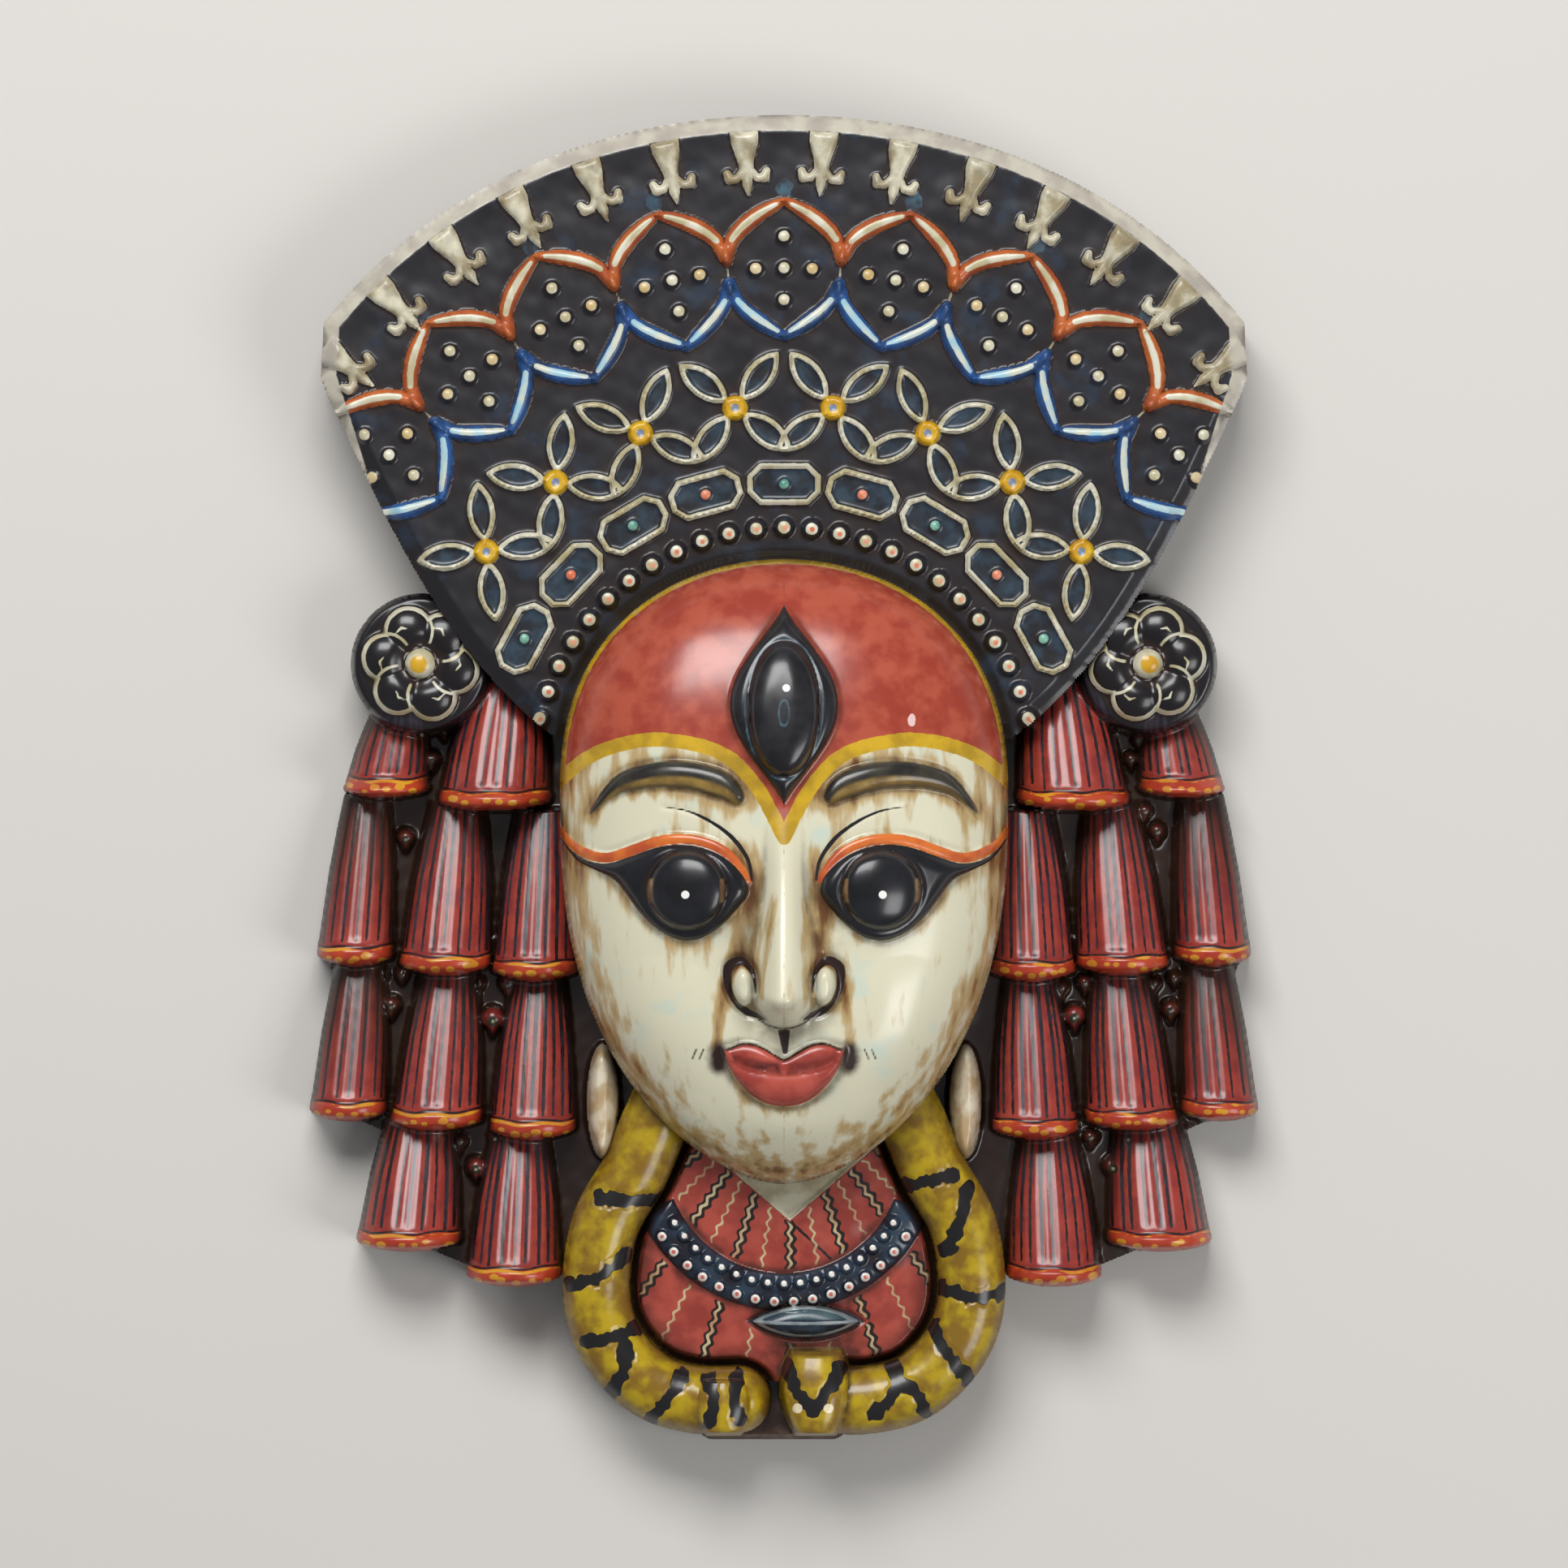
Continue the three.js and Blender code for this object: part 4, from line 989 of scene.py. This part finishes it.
# On the upper row the cream tip of each bead is a painted highlight; on the lower row it is a cream ring
# round a coral centre.
NECKLACE_ROWS = [
    {"count": 17, "radius": 44.6, "end": 58, "size": 2.5, "tip": 1, "ring": False},
    {"count": 16, "radius": 51, "end": 56, "size": 2.3, "tip": 1.6, "ring": True},
]


def cloth_stripes(x, y):
    """Pairs of wavy stripes that fan out from the throat."""
    angle = np.arctan2(x - NECK_TIP[0], STRIPE_CENTRE - y)
    reach = np.hypot(x - NECK_TIP[0], y - STRIPE_CENTRE)
    nearest = np.round(angle / STRIPE_STEP)
    beside = (angle - nearest * STRIPE_STEP) * reach + 0.55 * np.sin(reach * 1.5 + nearest * 2)
    dark = np.where(nearest % 2 == 0, np.abs(beside - 0.2) - 1.75, PAINT_REACH)
    pale = np.abs(beside) - np.where(nearest % 2 == 0, 0.55, 0.45)
    return dark, pale


def add_necklace(x, y, h, paint):
    radius = np.hypot(x, y - THROAT_Y)
    angle = np.degrees(np.arctan2(x, THROAT_Y - y))
    past_end = (np.abs(angle) - NECKLACE_END) * radius * math.pi / 180
    band = np.maximum(np.abs(radius - NECKLACE_RADIUS) - NECKLACE_WIDTH / 2, past_end)
    h += dome(band, NECKLACE_WIDTH / 2, NECKLACE_RISE * 0.6)
    paint["navy"] = band
    for beads in NECKLACE_ROWS:
        for _, turn in row(beads["radius"], beads["count"], beads["end"]):
            dx, dy = around(beads["radius"], turn)
            bead = blank(x)
            put(bead, x, y, dx, THROAT_Y - dy, 5, disc(beads["size"]))
            h += dome(bead, beads["size"], 2)
            # The cream tip: a painted highlight on the upper row, a ring round a coral centre on the
            # lower one
            put(paint["cream"], x, y, dx, THROAT_Y - dy, 5, disc(beads["tip"]))
            if beads["ring"]:
                put(paint["coral"], x, y, dx, THROAT_Y - dy, 5, disc(0.75))


def add_pendant(x, y, h, paint):
    px, py = PENDANT
    slim = lens(y - py, x - px + PENDANT_LENGTH / 2, PENDANT_LENGTH, PENDANT_WIDTH)
    h += dome(slim, PENDANT_WIDTH / 2, PENDANT_RISE) - 0.8 * fade(slim - 0.5, 0.9)
    middle = np.abs(y - py + 0.4 - 0.0018 * (x - px) ** 2) - 0.55
    groove = np.maximum(middle, slim + 0.5)
    h -= 0.7 * fade(middle + 1.6, 0.6) * (slim < -1)
    paint["navy"] = np.minimum(paint["navy"], slim - 0.8)
    paint["slate"] = np.maximum(slim + 1.2, py - y + 1)
    paint["pale"] = np.minimum(paint["pale"], np.minimum(np.abs(slim + 0.7) - 0.6, groove))


# %% Carve and paint the collar
COLLAR_BOX, COLLAR_STEP = (-78.5, 78.5, -HALF_HEIGHT - 0.5, -96), 0.46
x, y = grid(*COLLAR_BOX, COLLAR_STEP)
away = stroke(np.abs(x), y, SERPENT_LINE, 0)
inside_loop = polygon(x, y, SERPENT_LINE + [(-a, b) for a, b in SERPENT_LINE[::-1]])
body = away - SERPENT_RADIUS
h = CLOTH_SURFACE + CLOTH_RISE * fade(x, 34) * fade(y - THROAT_Y + 25, 45) + 0.25 * noise(x, y, 13, 50)
paint = {key: blank(x) for key in ("cream", "coral", "pale", "navy", "slate")}
dark, pale = cloth_stripes(x, y)
neck_edge = (NECK_TIP[1] - y + NECK_SLOPE * np.abs(x - NECK_TIP[0])) * NECK_TO_DISTANCE
paint["neck"] = np.maximum(neck_edge, -inside_loop - 60)
overlap = stroke(x, y, [NECK_TIP, (NECK_TIP[0] + 15, NECK_TIP[1] - 14)], 0.45)
hem_line = np.minimum(np.abs(neck_edge) - 0.5, overlap)
add_necklace(x, y, h, paint)
h -= 0.8 * smooth(-neck_edge, 0, 1.5)
add_pendant(x, y, h, paint)
h -= 5 * (1 - smooth(body, 0, 4))
paint["cloth"] = np.maximum(2.4 - body, np.maximum(-neck_edge, inside_loop + 2))
beside_beads = 1.4 - paint["navy"]
paint["stripe"] = np.maximum(np.minimum(dark, hem_line), np.maximum(beside_beads, paint["cloth"] + 0.4))
paint["wave"] = np.maximum(pale, np.maximum(beside_beads, paint["cloth"] + 0.6))
level = SERPENT_SURFACE - SERPENT_RADIUS
round_body = level + SERPENT_RADIUS * np.sqrt(1 - np.clip(away / SERPENT_RADIUS, 0, 1) ** 2)
h = np.where(body < 0, np.maximum(round_body, h), h)
snake = body.copy()
lip = rounded_box(x - LIP_X, y - SERPENT_FOOT, LIP_WIDTH / 2, SERPENT_RADIUS + FOOT_LIP, 5)
on_lip = (lip < 0) & (body > 0) & (y < SERPENT_FOOT + 6)
h = np.where(on_lip, LIP_SURFACE - 2.5 * smooth(lip, -2.5, 0), h)
paint["lip"] = np.maximum(lip, np.maximum(-body, y - SERPENT_FOOT - 6))
outline = np.minimum(np.minimum(body, inside_loop), lip)
for size in (TAIL, HEAD):
    out, lift = end_form(x, y, size)
    over = (out < 0) & (lift > h)
    h = np.where(over, lift, h)
    snake = np.minimum(snake, out)
    outline = np.minimum(outline, out)
paint["snake"] = snake
# Painted shade along the edges of the serpent's round body, head and tail
paint["snake_edge_shade"] = np.maximum(-snake - 2.2, snake)
paint["band"] = np.maximum(serpent_bands(x, y), snake + 0.3)
paint["snake_eye"] = ball(np.abs(x - HEAD["x"] + 1), y, *SNAKE_EYE)
h -= 0.4 * fade(np.maximum(paint["band"], 0), 0.8) * (snake < 0)
# Less of the hollows' brown, wax and painted shade alike, on the serpent and the foot lip
wax_and_shade = 1 - 0.55 * smooth(-np.minimum(snake, lip), 0, 2)
outline = np.maximum(outline, -UNDER_FACE - face_edge(x, y))
collar = build("collar", x, y, h, outline, paint, COLLAR_STEP, wax_and_shade=wax_and_shade)

# %% [markdown]
# Now the finish. The real mask is primed, painted by hand, rubbed with dark wax that stays in
# the hollows, and varnished. One recipe does for all five pieces: start from a ground colour,
# lay each paint over it where its stored distance is negative, darken the hollows with a brown
# that stands both for the real wax and for painted shade, then give the whole a gloss that is
# slightly uneven. Stored distances keep the edges sharp at any zoom, which an image of the same
# size could not, and a little noise makes them look painted by hand.

# %% Paint recipe
# The brown of the wax in the hollows, where it also stands for painted shade, and of the bare wood
DARK_WAX_AND_SHADE = (44, 26, 16)
# Heights in metres between which the paint of the side walls ends and dark bare wood begins
BARE_WOOD, BARE_WOOD_OF_COLLAR = (0.01, 0.026), (0.002, 0.012)
BRUSH_RELIEF, BRUSH_DEPTH = 0.12, 0.0006


def mix(*rgb):
    """A paint, from the 0 to 255 values of a colour chart."""
    return [((c / 255 + 0.055) / 1.055) ** 2.4 for c in rgb] + [1]


class Recipe:
    """The nodes of one painted finish, built layer by layer."""

    def __init__(self, name, ground, patches):
        self.material = bpy.data.materials.new(name)
        self.material.use_nodes = True
        self.tree = self.material.node_tree
        self.shader = self.tree.nodes["Principled BSDF"]
        self.place = self.node("ShaderNodeTexCoord").outputs["Object"]
        self.colour = self.blend(mix(*ground), mix(*patches), self.cloud(70, 4, 0.54, 0.72))

    def node(self, kind, **settings):
        made = self.tree.nodes.new(kind)
        for key, value in settings.items():
            setattr(made, key, value)
        return made

    def link(self, target, value):
        if isinstance(value, bpy.types.NodeSocket):
            self.tree.links.new(value, target)
        else:
            target.default_value = value

    def math(self, operation, a, b=0.0):
        made = self.node("ShaderNodeMath", operation=operation)
        self.link(made.inputs[0], a)
        self.link(made.inputs[1], b)
        return made.outputs[0]

    def step(self, value, low, high):
        made = self.node("ShaderNodeMapRange", interpolation_type="SMOOTHSTEP")
        self.link(made.inputs["Value"], value)
        made.inputs["From Min"].default_value, made.inputs["From Max"].default_value = sorted((low, high))
        made.inputs["To Min"].default_value = 0 if low < high else 1
        made.inputs["To Max"].default_value = 1 if low < high else 0
        return made.outputs[0]

    def texture(self, scale, detail, stretch=(1, 1, 1)):
        spot = self.place
        if stretch != (1, 1, 1):
            mapping = self.node("ShaderNodeMapping")
            mapping.inputs["Scale"].default_value = stretch
            self.link(mapping.inputs["Vector"], self.place)
            spot = mapping.outputs[0]
        made = self.node("ShaderNodeTexNoise")
        self.link(made.inputs["Vector"], spot)
        made.inputs["Scale"].default_value = scale
        made.inputs["Detail"].default_value = detail
        return made.outputs[0]

    def cloud(self, scale, detail, low, high):
        return self.step(self.texture(scale, detail), low, high)

    def blend(self, below, above, cover):
        made = self.node("ShaderNodeMix", data_type="RGBA")
        self.link(made.inputs[0], cover)
        self.link(made.inputs[6], below)
        self.link(made.inputs[7], above)
        return made.outputs[2]

    def field(self, name):
        return self.node("ShaderNodeAttribute", attribute_name=name).outputs["Fac"]

    def coat(self, name, colour, second=None, soft=0.12, wobble=0.5, thin=1.0):
        """Lay a paint where its field is negative; its edge follows the hand's small tremor."""
        tremor = self.math("MULTIPLY", self.math("SUBTRACT", self.texture(420, 2), 0.5), wobble)
        edge = self.step(self.math("ADD", self.field(name), tremor), soft, -soft)
        if thin < 1:
            patchy = self.math("MULTIPLY", self.cloud(230, 4, 0.3, 0.62), 1 - thin)
            edge = self.math("MULTIPLY", edge, self.math("ADD", patchy, thin))
        paint = mix(*colour)
        if second:
            paint = self.blend(mix(*colour), mix(*second), self.cloud(120, 4, 0.35, 0.65))
        self.colour = self.blend(self.colour, paint, edge)

    def finish(self, piece, wax_and_shade=1.0, rough=(0.2, 0.38), bare=BARE_WOOD):
        """The brown in the hollows, partly the real dark wax and partly painted shade, the bare wood
        below, the brush strokes and the varnish.
        """
        # Darken the fine and the broad hollows: the real antique wax, and painted shade in them too
        fine = self.math("MULTIPLY", self.step(self.field("recess"), 0.1, 0.75), 0.75)
        broad = self.math("MULTIPLY", self.step(self.field("depth"), 0.06, 0.75), 0.8)
        rubbed = self.math("MULTIPLY", self.cloud(160, 5, 0.15, 0.6), wax_and_shade)
        hollow_wax_and_shade = self.math("MULTIPLY", self.math("MAXIMUM", fine, broad), rubbed)
        self.colour = self.blend(self.colour, mix(*DARK_WAX_AND_SHADE), hollow_wax_and_shade)
        height = self.node("ShaderNodeSeparateXYZ")
        self.link(height.inputs[0], self.place)
        unpainted = self.step(height.outputs["Z"], bare[1], bare[0])
        self.colour = self.blend(self.colour, mix(*DARK_WAX_AND_SHADE), unpainted)
        self.link(self.shader.inputs["Base Color"], self.colour)
        gloss = self.node("ShaderNodeMapRange")
        self.link(gloss.inputs["Value"], self.texture(90, 4))
        gloss.inputs["To Min"].default_value, gloss.inputs["To Max"].default_value = rough
        self.link(self.shader.inputs["Roughness"], gloss.outputs[0])
        bump = self.node("ShaderNodeBump")
        bump.inputs["Strength"].default_value = BRUSH_RELIEF
        bump.inputs["Distance"].default_value = BRUSH_DEPTH
        self.link(bump.inputs["Height"], self.texture(160, 6, (1, 0.25, 1)))
        self.link(self.shader.inputs["Normal"], bump.outputs[0])
        self.shader.inputs["Specular IOR Level"].default_value = 0.4
        self.shader.inputs["Coat Weight"].default_value = 0.3
        self.shader.inputs["Coat Roughness"].default_value = 0.16
        piece.data.materials.append(self.material)
        print(self.material.name, "has", len(self.tree.nodes), "nodes")


# %% Colours that several pieces share
INK, INK_PATCH = (27, 24, 28), (34, 44, 58)
CREAM, CREAM_AGED = (208, 204, 184), (176, 166, 128)
YELLOW = (206, 164, 30)

# %% The crown's finish
r = Recipe("crown_paint", INK, INK_PATCH)
r.coat("patch", (60, 92, 108), (34, 46, 60), wobble=2.6, thin=0.1)
r.coat("glaze", (42, 60, 74), (22, 22, 27), wobble=1.5, thin=0.3)
r.coat("orange", (188, 100, 48), (160, 76, 40))
r.coat("blue", (42, 84, 142), (36, 60, 96))
r.coat("cream", CREAM, CREAM_AGED)
r.coat("tan", (186, 160, 104), (204, 188, 150))
r.coat("pale", (150, 188, 200), (200, 200, 182))
r.coat("yellow", YELLOW, (190, 140, 24))
r.coat("dot_blue", (120, 130, 150))
r.coat("green", (58, 120, 104), (130, 180, 160))
r.coat("coral", (206, 108, 74), (220, 150, 120))
r.coat("lily", (206, 200, 176), (150, 136, 104), thin=0.75)
r.coat("rim", (190, 184, 168), (168, 160, 148), soft=0.3, wobble=0.6)
r.finish(crown, wax_and_shade=0.8, rough=(0.28, 0.46))

# %% The face's finish
r = Recipe("face_paint", (214, 209, 182), (198, 207, 190))
streaks = r.math("MULTIPLY", r.math("SUBTRACT", r.texture(185, 8, (1, 0.24, 1)), 0.5), 3.6)
stained = r.math("ADD", r.math("MULTIPLY", r.field("stain"), 0.36), streaks)
r.colour = r.blend(r.colour, mix(182, 156, 108), r.step(stained, -0.25, 0.45))
r.colour = r.blend(r.colour, mix(124, 86, 44), r.step(stained, 0.35, 1.25))
r.coat("corner", (44, 26, 22), soft=2, wobble=1.5)
r.coat("forehead", (174, 80, 58), (152, 56, 40), soft=0.2)
r.colour = r.blend(r.colour, mix(92, 40, 24), r.math("MULTIPLY", r.step(stained, 0.5, 1.8), 0.55))
r.coat("chip", (224, 190, 186), wobble=1.4)
r.coat("third", (20, 19, 22), (36, 34, 38))
# Blue-grey line round the third eye's ball, and a painted highlight ring below its gleam
r.coat("third_ring_and_highlight", (62, 86, 100), thin=0.3)
r.coat("band", (204, 164, 34), (172, 136, 32), wobble=0.7)
r.coat("lid", (212, 112, 44), (180, 78, 40))
r.coat("brow", (34, 32, 30), (58, 54, 44), soft=0.5)
r.coat("brow_tan", (150, 122, 62), (110, 86, 44), soft=0.8)
r.coat("eye", (18, 18, 21), (28, 28, 33), wobble=0.3)
r.coat("crescent", (140, 110, 70), (90, 60, 40), soft=0.5)
r.coat("lips", (180, 80, 66), (152, 58, 48))
r.coat("lip_shade", (66, 26, 26), (130, 46, 36), soft=1.1, wobble=1.4, thin=0.5)
r.coat("lines", (34, 20, 18), soft=0.3, wobble=0.3)
r.coat("gleam", (236, 236, 230), wobble=0.2)
r.finish(face, wax_and_shade=0.7, rough=(0.18, 0.34))

# %% The hair's finish
for piece in (hair_right, hair_left):
    r = Recipe(piece.name + "_paint", (22, 18, 20), (27, 25, 31))
    # Red of the tassels, with soft edges; the dark it leaves at their sides and necks is painted shade
    r.coat("lock", (152, 56, 45), (130, 42, 37), soft=0.8)
    r.coat("strokes", (30, 20, 24), (44, 38, 48), wobble=0.6)
    r.coat("hem", (180, 66, 36), (160, 50, 32), wobble=0.4)
    r.coat("ochre", (206, 146, 38), (190, 122, 38))
    r.coat("hem_line", (34, 22, 22), wobble=0.4)
    r.coat("cherry", (158, 50, 44), (110, 30, 30))
    r.coat("cherry_eye", (34, 50, 36))
    r.coat("cream", CREAM, CREAM_AGED)
    r.coat("yolk", (206, 160, 36), (190, 140, 30), soft=0.4)
    r.coat("ear", (216, 206, 182), (176, 150, 112))
    r.finish(piece)

# %% The collar's finish
r = Recipe("collar_paint", (30, 22, 20), (44, 34, 30))
r.coat("cloth", (170, 74, 60), (144, 56, 46))
r.coat("neck", (196, 190, 164), (160, 150, 120))
r.coat("stripe", (36, 26, 24), wobble=0.9)
r.coat("wave", (196, 180, 140), (170, 130, 96), wobble=0.6)
r.coat("navy", (24, 28, 40), (42, 58, 74))
r.coat("slate", (70, 92, 98), (40, 56, 66))
r.coat("cream", (220, 214, 204))
r.coat("coral", (196, 100, 90))
r.coat("pale", (150, 160, 160), (110, 120, 124))
r.coat("lip", (132, 104, 90), (98, 74, 66), wobble=1)
r.coat("snake", (178, 150, 20), (128, 96, 22))
# Painted shade along the serpent's rounded edges
r.coat("snake_edge_shade", (80, 54, 24), (110, 80, 30), soft=2.6, wobble=1.5, thin=0.4)
r.coat("band", (26, 23, 24), wobble=0.6)
r.coat("snake_eye", (220, 205, 170))
r.finish(collar, bare=BARE_WOOD_OF_COLLAR)

# %% [markdown]
# The mask lies on a plain pale floor under soft studio light: a large lamp from beyond the
# crown, a weaker one from the right, and a pale surround. The camera looks straight down, as
# the mask is looked at from the front, from far enough away to see it without distortion.

# %% Floor
FLOOR_RADIUS = 6
bm = bmesh.new()
bmesh.ops.create_circle(bm, cap_ends=True, segments=96, radius=FLOOR_RADIUS)
floor_mesh = bpy.data.meshes.new("floor")
bm.to_mesh(floor_mesh)
bm.free()
floor = bpy.data.objects.new("floor", floor_mesh)
bpy.context.scene.collection.objects.link(floor)
paper = bpy.data.materials.new("floor_paper")
paper.use_nodes = True
paper.node_tree.nodes["Principled BSDF"].inputs["Base Color"].default_value = mix(206, 202, 196)
paper.node_tree.nodes["Principled BSDF"].inputs["Roughness"].default_value = 0.8
floor_mesh.materials.append(paper)


# %% Lamps and the surround
def lamp(name, place, turn, size, watts):
    light = bpy.data.lights.new(name, "AREA")
    light.shape, light.size, light.size_y = "RECTANGLE", size[0], size[1]
    light.energy = watts
    holder = bpy.data.objects.new(name, light)
    holder.location = place
    holder.rotation_euler = [math.radians(a) for a in turn]
    bpy.context.scene.collection.objects.link(holder)


lamp("top_light", (-0.4, 1.5, 1.9), (-38, -10, 0), (1.6, 1), 56)
lamp("side_light", (1.5, -0.7, 1.6), (22, 42, 0), (1, 1), 18)
world = bpy.data.worlds.new("surround")
world.use_nodes = True
world.node_tree.nodes["Background"].inputs["Color"].default_value = mix(222, 226, 232)
world.node_tree.nodes["Background"].inputs["Strength"].default_value = 0.34
bpy.context.scene.world = world
bpy.context.scene.view_settings.view_transform = "Standard"

# %% Camera
FRAME_WIDTH, LENS, SENSOR = 545.2, 200, 36
LOOK_AT = (0, -1.7)
FACE_LEVEL = 20
lens_of = bpy.data.cameras.new("camera")
lens_of.lens, lens_of.sensor_width = LENS, SENSOR
camera = bpy.data.objects.new("camera", lens_of)
camera_height = FRAME_WIDTH * LENS / SENSOR + FACE_LEVEL
camera.location = (LOOK_AT[0] * MM, LOOK_AT[1] * MM, camera_height * MM)
bpy.context.scene.collection.objects.link(camera)
bpy.context.scene.camera = camera
